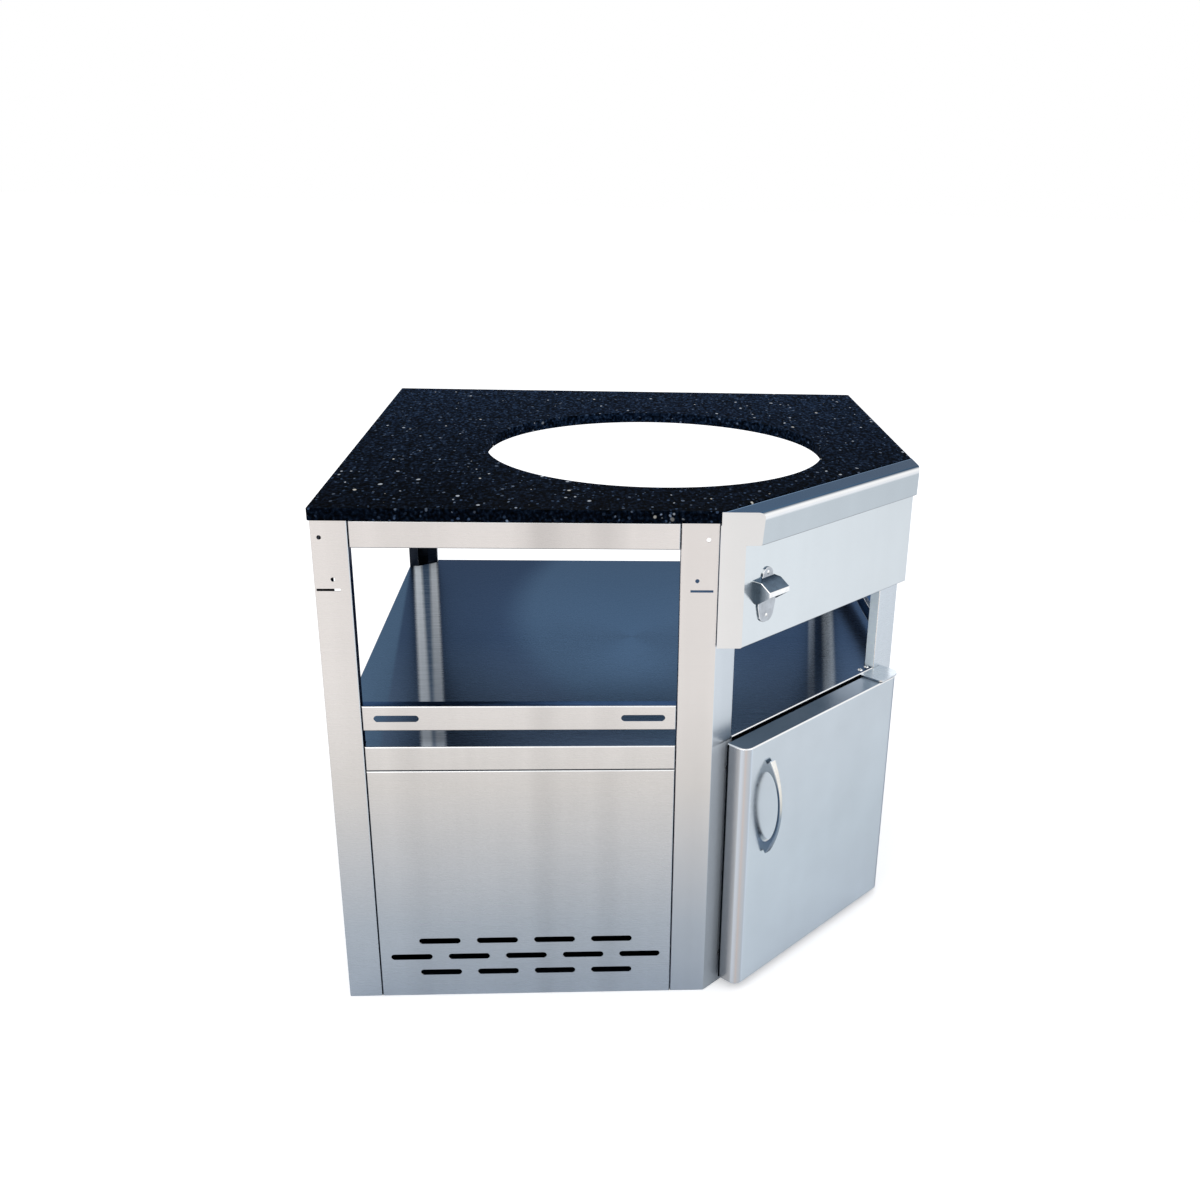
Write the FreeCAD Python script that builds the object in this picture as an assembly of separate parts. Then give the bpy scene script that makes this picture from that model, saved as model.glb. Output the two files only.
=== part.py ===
import FreeCAD, Part
import math
import os

from FreeCAD import Placement, Rotation, Vector

# Kamado grill table: a stainless-steel corner cabinet with a granite worktop.
# Millimetres, +Z up. Two square sides, front (y = 0) and right (x = side), are joined by a
# diagonal front that holds the door. The grill stands on the shelf, in the round cut-out.

# Frame
side = 1020.0               # square frame, outer face to outer face
side_run = 633.0            # square side up to the bend where the diagonal front starts
leg_height = 880.0          # floor to the underside of the worktop
sheet = 1.5                 # folded sheet of frame, shelf and panels
bend = 1.0                  # inside radius of a fold
lip = 20.0                  # return folded inwards along rails, panels and posts
seam = 0.9                  # gap between a rail or panel and the piece beside it
close_seam = 0.3            # gap at the ends of the cupboard floor

# Post flanges, measured from the corner of the post
corner_front = 57.0         # square corner posts, on the front or right side
corner_rear = 50.0          # square corner posts, on the left or back side
rear_back = 60.5            # post in the back left corner, its back flange
rear_back_return = 14.0     # that flange's first return, before it folds on at 45 degrees
rear_back_slant = 28.0      # the slanted stretch of that return
door_post_side = 60.5       # door posts, on the front or right side
door_post_handle = 51.0     # door post at the handle, on the diagonal
door_post_hinge = 60.0      # door post at the hinge, on the diagonal

# Accessory holes and slits near the top of the front and right posts
hook_hole = 7.0
hook_high_across = 13.1     # from the corner of the post
hook_high_drop = 27.2       # below the top of the post
hook_low_across = 29.3
hook_low_drop = 95.4
hook_slit_across = 3.1
hook_slit_length = 36.9
hook_slit_drop = 112.5
hook_slit_height = 4.0
door_post_shift = 4.0       # the pattern sits this much further in on the door posts

# Rails, shelf and floor
top_rail_height = 44.0
shelf_level = 494.0         # upper face of the shelf
shelf_flange = 44.0
floor_level = 40.0          # upper face of the cupboard floor
deck_clear = 2.0            # between a post's returns and the shelf or floor behind them
slot_rail_rise = 29.3       # gap between the shelf and the slotted rails
slot_rail_height = 44.0
slot_length = 73.0
slot_width = 11.4
slot_pitch = 403.9          # between the centres of the two slots
brace_pitch = 250.0
brace_post_gap = 8.5        # between the middle brace and the hinge post
brace_width = 60.0          # hat section under the shelf
brace_depth = 25.0
brace_foot = 14.0
brace_end = 3.0             # the braces stop this far from the frame's outer faces

# Vents in the lower panels
vent_length = 72.3
vent_height = 11.3
vent_pitch = 100.7
vent_middle = 81.1          # height of the middle row
vent_rise = 32.7            # from row to row
vent_margin = 15.0          # least distance from the end of a row to the end of the panel

# Worktop
granite = 20.0
granite_over = 3.0          # overhang on the square sides
granite_over_door = 4.0     # overhang on the diagonal
granite_corner = 4.0        # radius of the upright corners
granite_edge = 1.5          # eased upper and lower edges
hole_radius = 314.0
hole_x = 549.0              # centre of the cut-out from the left face of the frame
hole_y = 459.0              # and from its front face

# Cover over the diagonal: nosing above, fascia below, closed at both ends
cover_sheet = 1.5
cover_gap = 0.5             # to the granite
cover_proud = 4.0           # end faces, proud of the square sides
cover_end_back = 3.5        # rear edge of the end faces, in front of the diagonal
cover_drop = 1.0            # its top, below the top of the granite
nosing_out = 50.4           # at its lower edge
nosing_rake = 3.0           # its top stands this much further out
nosing_height = 54.0
nosing_round = 8.0
fascia_out = 32.4
fascia_height = 174.0
cover_joggle_gap = 2.0      # the rear lip steps back this far below the granite
cover_joggle = 4.0          # height of that step
cover_lip = 24.0            # rear lip against the top rail
cover_up_fold = 20.0        # fold at the rear of the bottom return
cover_lip_in = 8.0          # the rear folds stop this far inside the ends

# Door
door_overlap = 17.0         # over the post at the handle side
door_low = 12.7
door_back = 6.0             # back of the door, in front of the diagonal
door_out = 48.0             # front of the door
door_round = 17.0           # upright edges
door_edge = 3.0             # upper and lower edges
door_sheet = 1.2
door_play = 0.2             # between a bush and the hinge plate
liner_fold = 12.0
liner_gap = 0.2

# Pivot hinges of the door
pivot_past_seam = 0.7       # centre of the pins, past the edge of the hinge post
pivot_out = 27.0            # and in front of the diagonal
door_past_pivot = 14.0      # the door's edge, past the pins
pin_radius = 4.0
pin_play = 0.05
pin_into_door = 14.0        # how far the pin reaches past the plate
hinge_plate = 3.0
plate_over_pin = 1.0        # the pins are pressed into blind holes
plate_reach = 47.0          # from the pin towards the handle side
plate_round = 22.0          # right end, about the pin
plate_corner = 9.0
plate_post_gap = 0.3
tongue_in = 25.0            # reach of the upper plate under the shelf
tongue_gap = 0.5            # between a plate and the side fold of the shelf's flange
low_plate_out = 40.0
low_plate_reach = 42.0
low_upright = 24.0          # upright of the lower plate, behind the floor's flange
plate_slot_gap = 0.3        # around the plates where they pass a flange
bush_flange = 1.0
bush_flange_radius = 9.0
bush_radius = 6.0
bush_length = 12.0
bolt_in = 10.5              # upper hinge bolts, behind the diagonal
bolt_offsets = (-31.0, -9.5)            # from the pin, along the diagonal
bolt_radius = 3.0
bolt_head_radius = 5.0
bolt_head = 3.0
bolt_past_nut = 1.0
low_bolt_offsets = (-33.0, -13.0)
low_bolt_rise = 14.5        # above the lower plate
low_bolt_head = 2.0
low_bolt_head_radius = 4.0
nut_radius = 5.7
nut_height = 4.0

# Door handle, a cast bow that widens into its feet
handle_in = 66.5            # from the door's left edge
handle_drop = 130.0         # its middle, below the door's upper edge
handle_length = 184.0       # from tip to tip
handle_base = 170.0         # where it meets the door
handle_reach = 30.0         # from the door to the outside of the bow, in the middle
handle_end_reach = 5.5      # and at its tips
handle_opening = 136.0      # the grip opening is half an ellipse
handle_opening_reach = 24.8
handle_width = 8.0
handle_end_width = 15.0
handle_round = 1.8
handle_screw_radius = 2.5
handle_screw_depth = 8.0
handle_screw_head = 4.5
handle_screw_head_height = 3.0

# Bottle opener on the fascia
opener_x = 84.5             # along the diagonal
opener_drop = 47.0          # its top, below the nosing
opener_plate = 3.0
opener_ear_width = 27.0
opener_ear = 14.0           # from the top down to the ridge, where the hood leaves the plate
opener_slope = 7.0          # from the ridge down to the shoulders
opener_width = 53.0
opener_reach = 28.5
opener_rim_drop = 19.0      # from the ridge down to the rim
opener_rim = 8.0            # height of the rim
opener_round = 1.8          # on the outer edges of the hood
opener_plate_round = 0.8
opener_mouth = 18.0         # height of the slanted mouth
opener_tab_width = 46.0
opener_tab_side = 5.0       # straight sides of the tab below the mouth
opener_tab_corner = 8.0
opener_tab_end = 30.0       # width at the bottom
opener_tab = 35.0           # from the mouth down to the bottom
opener_wall = 3.0
opener_tooth_width = 14.0
opener_tooth_reach = 5.0
opener_tooth_height = 6.0
opener_tooth_rise = 1.0     # above the rim's lower edge
opener_screw_top = 9.0      # upper screw, below the top
opener_screw_bottom = 11.0  # lower screw, above the bottom
opener_screw_radius = 2.0
opener_screw_head = 3.6
opener_screw_dome = 1.6
opener_screw_length = 8.0
opener_socket = 2.5         # across its flats
opener_socket_depth = 1.1

# Magnetic catch and rubber bumpers of the door
catch_in_from_post = 52.0   # its middle, from the post at the handle side
catch_width = 46.0
catch_height = 12.0
catch_in = 19.0             # behind the diagonal
catch_gap = 0.3             # to the strike on the door
catch_round = 1.0
strike_width = 36.0
strike_height = 10.0
strike_sheet = 1.5
catch_screw_pitch = 32.0
catch_screw_radius = 1.5
bumper_radius = 5.0
bumper_in = 9.0             # from the door's left edge
bumper_end = 50.0           # from its upper and lower edges
bumper_gap = 0.3

# Rivets and screws
rivet_depth = 9.0           # behind the outer face
rivet_radius = 1.6
rivet_head = 3.0
rivet_head_height = 0.8
rivet_rise = 10.0           # of a pair, above and below the middle of a flange
panel_rivet_end = 50.0      # from the panel's upper edge and from the floor
cover_screw_radius = 2.0
cover_screw_head = 4.0
cover_screw_head_height = 2.4
cover_screw_in = 70.0       # outer screws of the upper row, from the posts
cover_low_screws = 25.0     # from the bends, along the diagonal
cover_tip = 3.0             # how far a cover screw reaches past the sheet
past = 1.0                  # how far a cutter runs past what it cuts

# Derived
diagonal = (side - side_run) * math.sqrt(2)
faces = {
    "front": (0.0, 0.0, 0.0),
    "door": (side_run, 0.0, 45.0),
    "right": (side, side - side_run, 90.0),
    "back": (side, side, 180.0),
    "left": (0.0, side, 270.0),
}
# Clear stretch between the posts on each face, in that face's own X
spans = {
    "front": (corner_front, side_run - door_post_side),
    "door": (door_post_handle, diagonal - door_post_hinge),
    "right": (door_post_side, side_run - corner_front),
    "back": (corner_rear, side - rear_back),
    "left": (corner_rear, side - corner_rear),
}
origin = Vector(-(side + cover_proud - granite_over) / 2, -(side + granite_over - cover_proud) / 2, 0)
door_seam_left, door_seam_right = spans["door"]
panel_high = shelf_level - shelf_flange - seam
slot_rail_low = shelf_level + slot_rail_rise
slot_level = slot_rail_low + slot_rail_height / 2
cover_top = leg_height + granite - cover_drop
cover_joggle_top = leg_height - cover_joggle_gap
cover_lip_top = cover_joggle_top - cover_joggle
cover_lip_low = cover_lip_top - cover_lip
nosing_low = cover_top - nosing_height
fascia_low = nosing_low - fascia_height
plate_top = shelf_level - sheet                     # upper hinge plate, against the shelf
door_high = plate_top - hinge_plate - bush_flange - door_play
low_plate_top = door_low - bush_flange - door_play
brace_middle = side - side_run + door_post_side + brace_post_gap + brace_width / 2 + brace_foot
pivot_x = door_seam_right + pivot_past_seam
door_left = door_seam_left - door_overlap
door_right = pivot_x + door_past_pivot
tongue_right = door_seam_right - seam - sheet - tongue_gap
handle_x = door_left + handle_in
handle_level = door_high - handle_drop
handle_feet = [handle_level + way * (handle_base + handle_opening) / 4 for way in (-1, 1)]
opener_top = nosing_low - opener_drop
opener_ridge = opener_top - opener_ear
opener_shoulder = opener_ridge - opener_slope
opener_rim_top = opener_ridge - opener_rim_drop
opener_rim_low = opener_rim_top - opener_rim
opener_mouth_low = opener_rim_low - opener_mouth
opener_bottom = opener_mouth_low - opener_tab
opener_screw_levels = (opener_top - opener_screw_top, opener_bottom + opener_screw_bottom)
catch_x = door_seam_left + catch_in_from_post
parts = {}


# Placing. Every face has a frame of its own: X along it, Y inwards, Z up.
def on_face(shape, face):
    x, y, angle = faces[face]
    placed = shape.copy()
    turn = Placement(Vector(x, y, 0), Rotation(Vector(0, 0, 1), angle))
    placed.Placement = turn.multiply(placed.Placement)
    return placed


def face_point(face, x, y):
    ox, oy, angle = faces[face]
    c = math.cos(math.radians(angle))
    s = math.sin(math.radians(angle))
    return (ox + x * c - y * s, oy + x * s + y * c)


def block(x0, x1, y0, y1, z0, z1):
    return Part.makeBox(x1 - x0, y1 - y0, z1 - z0, Vector(x0, y0, z0))


def rod(radius, start, direction, length):
    return Part.makeCylinder(radius, length, Vector(*start), Vector(*direction))


# Outlines with rounded corners. A corner is (u, v) or (u, v, radius).
def rounded_wire(corners, to_space):
    count = len(corners)
    edges = []
    first = None
    last = None
    for i, corner in enumerate(corners):
        u, v = corner[0], corner[1]
        radius = corner[2] if len(corner) > 2 else 0.0
        pu, pv = corners[i - 1][0], corners[i - 1][1]
        nu, nv = corners[(i + 1) % count][0], corners[(i + 1) % count][1]
        into = Vector(u - pu, v - pv, 0).normalize()
        onward = Vector(nu - u, nv - v, 0).normalize()
        here = Vector(u, v, 0)
        half = into.getAngle(onward) / 2
        if radius > 0 and half > 1e-6:
            reach = radius * math.tan(half)
            start = here - into * reach
            end = here + onward * reach
            middle = here + (onward - into).normalize() * (radius / math.cos(half) - radius)
        else:
            start = here
            end = here
            middle = None
        if last is None:
            first = start
        elif (start - last).Length > 1e-6:
            edges.append(Part.LineSegment(to_space(last), to_space(start)).toShape())
        if middle is not None:
            edges.append(Part.Arc(to_space(start), to_space(middle), to_space(end)).toShape())
        last = end
    if (first - last).Length > 1e-6:
        edges.append(Part.LineSegment(to_space(last), to_space(first)).toShape())
    return Part.Wire(edges)


def prism(corners, z0, z1):
    face = Part.Face(rounded_wire(corners, lambda p: Vector(p.x, p.y, z0)))
    return face.extrude(Vector(0, 0, z1 - z0))


def along_x(corners, x0, x1):
    # corners are (y, z) in a face's frame
    face = Part.Face(rounded_wire(corners, lambda p: Vector(x0, p.x, p.y)))
    return face.extrude(Vector(x1 - x0, 0, 0))


def along_y(corners, y0, y1):
    # corners are (x, z) in a face's frame
    face = Part.Face(rounded_wire(corners, lambda p: Vector(p.x, y0, p.y)))
    return face.extrude(Vector(0, y1 - y0, 0))


def offset_line(points, distance):
    # moves an open polyline to its left
    moved = []
    for i, (u, v) in enumerate(points):
        ways = []
        if i > 0:
            ways.append(Vector(u - points[i - 1][0], v - points[i - 1][1], 0).normalize())
        if i < len(points) - 1:
            ways.append(Vector(points[i + 1][0] - u, points[i + 1][1] - v, 0).normalize())
        lefts = [Vector(-w.y, w.x, 0) for w in ways]
        total = lefts[0] if len(lefts) == 1 else lefts[0] + lefts[1]
        miter = total.normalize()
        scale = distance / miter.dot(lefts[0])
        moved.append((u + miter.x * scale, v + miter.y * scale))
    return moved


def folded_outline(points, thickness, inside=bend):
    # closed outline of a folded sheet: its outer face follows the points, the sheet is on their left
    other = offset_line(points, thickness)
    outer = []
    inner = []
    for i in range(len(points)):
        near = 0.0
        far = 0.0
        if 0 < i < len(points) - 1:
            ax = points[i][0] - points[i - 1][0]
            ay = points[i][1] - points[i - 1][1]
            bx = points[i + 1][0] - points[i][0]
            by = points[i + 1][1] - points[i][1]
            turns_left = ax * by - ay * bx > 0
            near = inside + thickness if turns_left else inside
            far = inside if turns_left else inside + thickness
        outer.append((points[i][0], points[i][1], near))
        inner.append((other[i][0], other[i][1], far))
    return outer + inner[::-1]


def edges_at(shape, test):
    return [e for e in shape.Edges if test(e)]


def in_plane(edge, axis, value):
    box = edge.BoundBox
    low = getattr(box, axis + "Min")
    high = getattr(box, axis + "Max")
    return abs(low - value) < 1e-3 and abs(high - value) < 1e-3


# A shallow pan folded from one sheet: front, four returns, open at the back
def pan(x0, x1, z0, z1, y0, depth, wall=sheet, inside=bend):
    outer = block(x0, x1, y0, y0 + depth, z0, z1)
    outer = outer.makeFillet(inside + wall, edges_at(outer, lambda e: in_plane(e, "Y", y0)))
    front = y0 + wall
    hollow = block(x0 + wall, x1 - wall, front, y0 + depth + past, z0 + wall, z1 - wall)
    hollow = hollow.makeFillet(inside, edges_at(hollow, lambda e: in_plane(e, "Y", front)))
    return outer.cut(hollow)


def slot_cutter(x, z, length, width, y0, y1):
    half = width / 2
    left = x - length / 2 + half
    right = x + length / 2 - half
    bar = block(left, right, y0, y1, z - half, z + half)
    ends = [rod(half, (cx, y0, z), (0, 1, 0), y1 - y0) for cx in (left, right)]
    return bar.fuse(ends)


# Rivets through a rail's end tab and a post's lip, head inside the rail
def rivet(x, z, towards, reach, gap):
    tab = x + towards * (gap + sheet)
    head = rod(rivet_head, (tab, reach, z), (towards, 0, 0), rivet_head_height)
    shank = rod(rivet_radius, (tab, reach, z), (-towards, 0, 0), sheet * 2 + gap)
    tail = rod(rivet_head, (x - towards * sheet, reach, z), (-towards, 0, 0), rivet_head_height)
    return head.fuse([shank, tail])


def rivet_hole(x, z, towards, reach, gap):
    start = x - towards * (sheet + rivet_head_height)
    return rod(rivet_radius, (start, reach, z), (towards, 0, 0), gap + 2 * sheet + 2 * rivet_head_height)


def end_rivets(face, levels, gap=seam, reach=rivet_depth):
    # both ends of a rail or panel on one face: the rivets, and the holes they need
    left, right = spans[face]
    bodies = []
    holes = []
    for x, towards in ((left, 1), (right, -1)):
        for z in levels:
            bodies.append(on_face(rivet(x, z, towards, reach, gap), face))
            holes.append(on_face(rivet_hole(x, z, towards, reach, gap), face))
    return bodies, holes


rivets = {}
holes_by_face = {name: [] for name in faces}


def fasten(group, face, levels, gap=seam, reach=rivet_depth):
    bodies, holes = end_rivets(face, levels, gap, reach)
    rivets.setdefault(group, []).extend(bodies)
    holes_by_face[face].extend(holes)
    return holes


def pair(middle):
    return (middle - rivet_rise, middle + rivet_rise)


# Rails between the posts under the worktop
def top_rail(face):
    left, right = spans[face]
    low = leg_height - top_rail_height
    rail = on_face(pan(left + seam, right - seam, low, leg_height, 0, lip), face)
    return rail.cut(fasten("rail_rivets", face, pair(low + top_rail_height / 2)))


top_rails = {face: top_rail(face) for face in faces}


# Slotted rails above the shelf, for bolting the next cabinet on
def slotted_rail(face):
    left, right = spans[face]
    high = slot_rail_low + slot_rail_height
    rail = pan(left + seam, right - seam, slot_rail_low, high, 0, lip)
    middle = (left + right) / 2
    for way in (-1, 1):
        x = middle + way * slot_pitch / 2
        rail = rail.cut(slot_cutter(x, slot_level, slot_length, slot_width, -past, sheet + past))
    rail = on_face(rail, face)
    return rail.cut(fasten("rail_rivets", face, pair(slot_rail_low + slot_rail_height / 2)))


slotted_rails = {face: slotted_rail(face) for face in ("front", "right")}


# Shelf and cupboard floor: a sheet notched at the posts, with a flange on every face
def deck(level, flange, gap, insets):
    notch = lip + deck_clear
    corners = []
    for face in faces:
        left, right = spans[face]
        start = left + gap
        end = right - gap
        edge = insets[face] + lip / 2
        for x, y in ((start, notch), (start, edge), (end, edge), (end, notch)):
            corners.append(face_point(face, x, y))
    body = prism(corners, level - sheet, level)
    for face in faces:
        left, right = spans[face]
        rim = pan(left + gap, right - gap, level - flange, level, insets[face], lip)
        body = body.fuse(on_face(rim, face))
    return body.removeSplitter()


shelf = deck(shelf_level, shelf_flange, seam, {face: 0.0 for face in faces})
for face in faces:
    shelf = shelf.cut(fasten("shelf_rivets", face, pair(shelf_level - shelf_flange / 2)))

floor_insets = {face: sheet for face in faces}
floor_insets["door"] = 0.0
cupboard_floor = deck(floor_level, floor_level, close_seam, floor_insets)
for face in faces:
    levels = (floor_level / 2,)
    cupboard_floor = cupboard_floor.cut(fasten("floor_rivets", face, levels, close_seam))


# Hat-section braces that carry the grill's weight, with their feet against the shelf
def brace(y):
    foot = plate_top - sheet
    crown = plate_top - brace_depth
    half = brace_width / 2
    outline = folded_outline([
        (y - half - brace_foot, foot),
        (y - half, foot),
        (y - half, crown),
        (y + half, crown),
        (y + half, foot),
        (y + half + brace_foot, foot),
    ], sheet)
    hat = along_x(outline, 0, side)
    corners = [face_point(face, x, brace_end)
               for face, (left, right) in spans.items()
               for x in (left, right)]
    return hat.common(prism(corners, crown - past, plate_top))


# Lower panels. The pan's returns stop above the floor's flange, and its face runs to the ground.
def lower_panel(face, vented):
    left, right = spans[face]
    panel = pan(left + seam, right - seam, -lip, panel_high, 0, lip)
    panel = panel.cut(block(left, right, -past, lip + past, -lip - past, 0))
    panel = panel.cut(block(left, right, sheet, lip + past, -past, floor_level + seam))
    if vented:
        # as many slots as fit in the middle row, and one fewer above and below it
        middle = (left + right) / 2
        most = int((right - left - 2 * vent_margin - vent_length) / vent_pitch) + 1
        for row, count in ((1, most - 1), (0, most), (-1, most - 1)):
            for i in range(count):
                x = middle + (i - (count - 1) / 2) * vent_pitch
                z = vent_middle + row * vent_rise
                panel = panel.cut(slot_cutter(x, z, vent_length, vent_height, -past, lip))
    panel = on_face(panel, face)
    levels = (floor_level + panel_rivet_end, panel_high - panel_rivet_end)
    return panel.cut(fasten("panel_rivets", face, levels))


panels = {
    "vent_panel_front": lower_panel("front", True),
    "vent_panel_right": lower_panel("right", True),
    "back_panel": lower_panel("back", False),
    "left_panel": lower_panel("left", False),
}


# Posts, each folded from one sheet with its returns towards the inside
def post(points, neighbours):
    body = prism(folded_outline(points, sheet), 0, leg_height)
    for face in neighbours:
        body = body.cut(holes_by_face[face])
    return body


def hook_pattern(body, face, corner, way):
    # two holes and a slit, measured from the post's corner and top
    cutters = []
    for across, drop in ((hook_high_across, hook_high_drop), (hook_low_across, hook_low_drop)):
        start = (corner + way * across, -past, leg_height - drop)
        cutters.append(rod(hook_hole / 2, start, (0, 1, 0), sheet + 2 * past))
    middle = corner + way * (hook_slit_across + hook_slit_length / 2)
    half = hook_slit_length / 2
    level = leg_height - hook_slit_drop
    high = level + hook_slit_height / 2
    cutters.append(block(middle - half, middle + half, -past, sheet + bend, high - hook_slit_height, high))
    return body.cut([on_face(c, face) for c in cutters])


def square_corner(first, second, first_flange, second_flange):
    # the end of one face and the start of the next one
    length = side_run if first == "right" else side
    return [
        face_point(first, length - first_flange, lip),
        face_point(first, length - first_flange, 0),
        face_point(first, length, 0),
        face_point(second, second_flange, 0),
        face_point(second, second_flange, lip),
    ]


post_front_left = post(square_corner("left", "front", corner_rear, corner_front), ("left", "front"))
post_front_left = hook_pattern(post_front_left, "front", 0, 1)

post_door_handle = post([
    face_point("front", side_run - door_post_side, lip),
    face_point("front", side_run - door_post_side, 0),
    face_point("front", side_run, 0),
    face_point("door", door_post_handle, 0),
    face_point("door", door_post_handle, lip),
], ("front", "door"))
post_door_handle = hook_pattern(post_door_handle, "front", side_run - door_post_shift, -1)

post_door_hinge = post([
    face_point("door", diagonal - door_post_hinge, lip),
    face_point("door", diagonal - door_post_hinge, 0),
    face_point("door", diagonal, 0),
    face_point("right", door_post_side, 0),
    face_point("right", door_post_side, lip),
], ("door", "right"))
post_door_hinge = hook_pattern(post_door_hinge, "right", door_post_shift, 1)

post_back_right = post(square_corner("right", "back", corner_front, corner_rear), ("right", "back"))
post_back_right = hook_pattern(post_back_right, "right", side_run, -1)

slant = rear_back_slant / math.sqrt(2)
post_back_left = post([
    face_point("back", side - rear_back + slant, rear_back_return + slant),
    face_point("back", side - rear_back, rear_back_return),
    face_point("back", side - rear_back, 0),
    face_point("back", side, 0),
    face_point("left", corner_rear, 0),
    face_point("left", corner_rear, lip),
], ("back", "left"))


# Granite worktop with the round cut-out
def make_worktop():
    over = granite_over
    low = leg_height
    cut = granite_over_door * math.sqrt(2)
    corner = granite_corner
    outline = [
        (-over, -over, corner),
        (side_run + cut - over, -over),
        (side + over, side - side_run - cut + over),
        (side + over, side + over, corner),
        (-over, side + over, corner),
    ]
    slab = prism(outline, low, low + granite)
    slab = slab.cut(rod(hole_radius, (hole_x, hole_y, low - past), (0, 0, 1), granite + 2 * past))
    rims = edges_at(slab, lambda e: in_plane(e, "Z", low) or in_plane(e, "Z", low + granite))
    return slab.makeFillet(granite_edge, rims)


worktop = make_worktop()


# Cover over the diagonal. Its section is (y, z) in the door face's frame, seen from the handle side.
def make_cover():
    front = -fascia_out
    nose = -nosing_out
    nose_top = nose - nosing_rake
    granite_face = -(granite_over_door + cover_gap)
    line = [
        (0, fascia_low + cover_up_fold),
        (0, fascia_low),
        (front, fascia_low),
        (front, nosing_low),
        (nose, nosing_low),
        (nose_top, cover_top),
        (granite_face, cover_top),
        (granite_face, cover_joggle_top),
        (0, cover_lip_top),
        (0, cover_lip_low),
    ]
    line = line[::-1]
    outline = folded_outline(line, cover_sheet)
    nose_corner = line.index((nose_top, cover_top))
    outline[nose_corner] = (nose_top, cover_top, nosing_round)
    mirror_corner = len(outline) - 1 - nose_corner
    outline[mirror_corner] = outline[mirror_corner][:2] + (nosing_round - cover_sheet,)
    reach = nosing_out + nosing_rake + cover_proud * 2
    skin = along_x(outline, -reach, diagonal + reach)
    # end faces: the cover's whole section, in the planes of the square sides
    closing = [
        (-cover_end_back, fascia_low, 0),
        (front, fascia_low, bend + cover_sheet),
        (front, nosing_low, bend),
        (nose, nosing_low, bend + cover_sheet),
        (nose_top, cover_top, nosing_round),
        (granite_face, cover_top, 0),
        (granite_face, cover_joggle_top, 0),
        (-cover_end_back, cover_lip_top, 0),
    ]
    ends = along_x(closing, -reach, diagonal + reach)
    far = side * 2
    low = fascia_low - past
    high = cover_top + past
    outside = [
        block(-far, far, -far, -cover_proud, low, high),
        block(side + cover_proud, far, -far, far, low, high),
    ]
    inside = block(-far, side + cover_proud - cover_sheet, -cover_proud + cover_sheet, far, low, high)
    for start, end in ((-reach, cover_lip_in), (diagonal - cover_lip_in, diagonal + reach)):
        skin = skin.cut(block(start, end, -cover_end_back, past, low, high))
    skin = on_face(skin, "door").cut(outside)
    ends = on_face(ends, "door").cut(outside + [inside])
    return skin.fuse(ends).removeSplitter()


cover = make_cover()


# Screws that hold the cover, heads inside the frame
def cover_screw(x, z):
    head = rod(cover_screw_head, (x, sheet, z), (0, 1, 0), cover_screw_head_height)
    shank = rod(cover_screw_radius, (x, sheet, z), (0, -1, 0), sheet + cover_sheet + cover_tip)
    return on_face(head.fuse(shank), "door")


def cover_screw_hole(x, z):
    depth = sheet + cover_sheet + cover_tip
    return on_face(rod(cover_screw_radius, (x, sheet, z), (0, -1, 0), depth), "door")


low_screw_level = fascia_low + cover_up_fold / 2
high_screw_level = cover_lip_low + cover_lip / 2
first = door_seam_left + cover_screw_in
last = door_seam_right - cover_screw_in
cover_spots = [(x, high_screw_level) for x in (first, (first + last) / 2, last)]
cover_spots += [(x, low_screw_level) for x in (cover_low_screws, diagonal - cover_low_screws)]
cover_screws = [cover_screw(x, z) for x, z in cover_spots]
cover_holes = [cover_screw_hole(x, z) for x, z in cover_spots]
cover = cover.cut(cover_holes)
top_rails["door"] = top_rails["door"].cut(cover_holes)
post_door_handle = post_door_handle.cut(cover_holes)
post_door_hinge = post_door_hinge.cut(cover_holes)


# Bottle opener: plate with an ear above and a tab below, and a faceted hood with a slanted mouth
def hood_outline(inset, low):
    half = opener_width / 2 - inset
    ridge_half = (opener_ear_width - inset) / 2
    ridge = opener_ridge - inset
    shoulder = opener_shoulder - inset / 2
    return [
        (opener_x - half, low, 0),
        (opener_x + half, low, 0),
        (opener_x + half, shoulder, 0),
        (opener_x + ridge_half, ridge, 0),
        (opener_x - ridge_half, ridge, 0),
        (opener_x - half, shoulder, 0),
    ]


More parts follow.
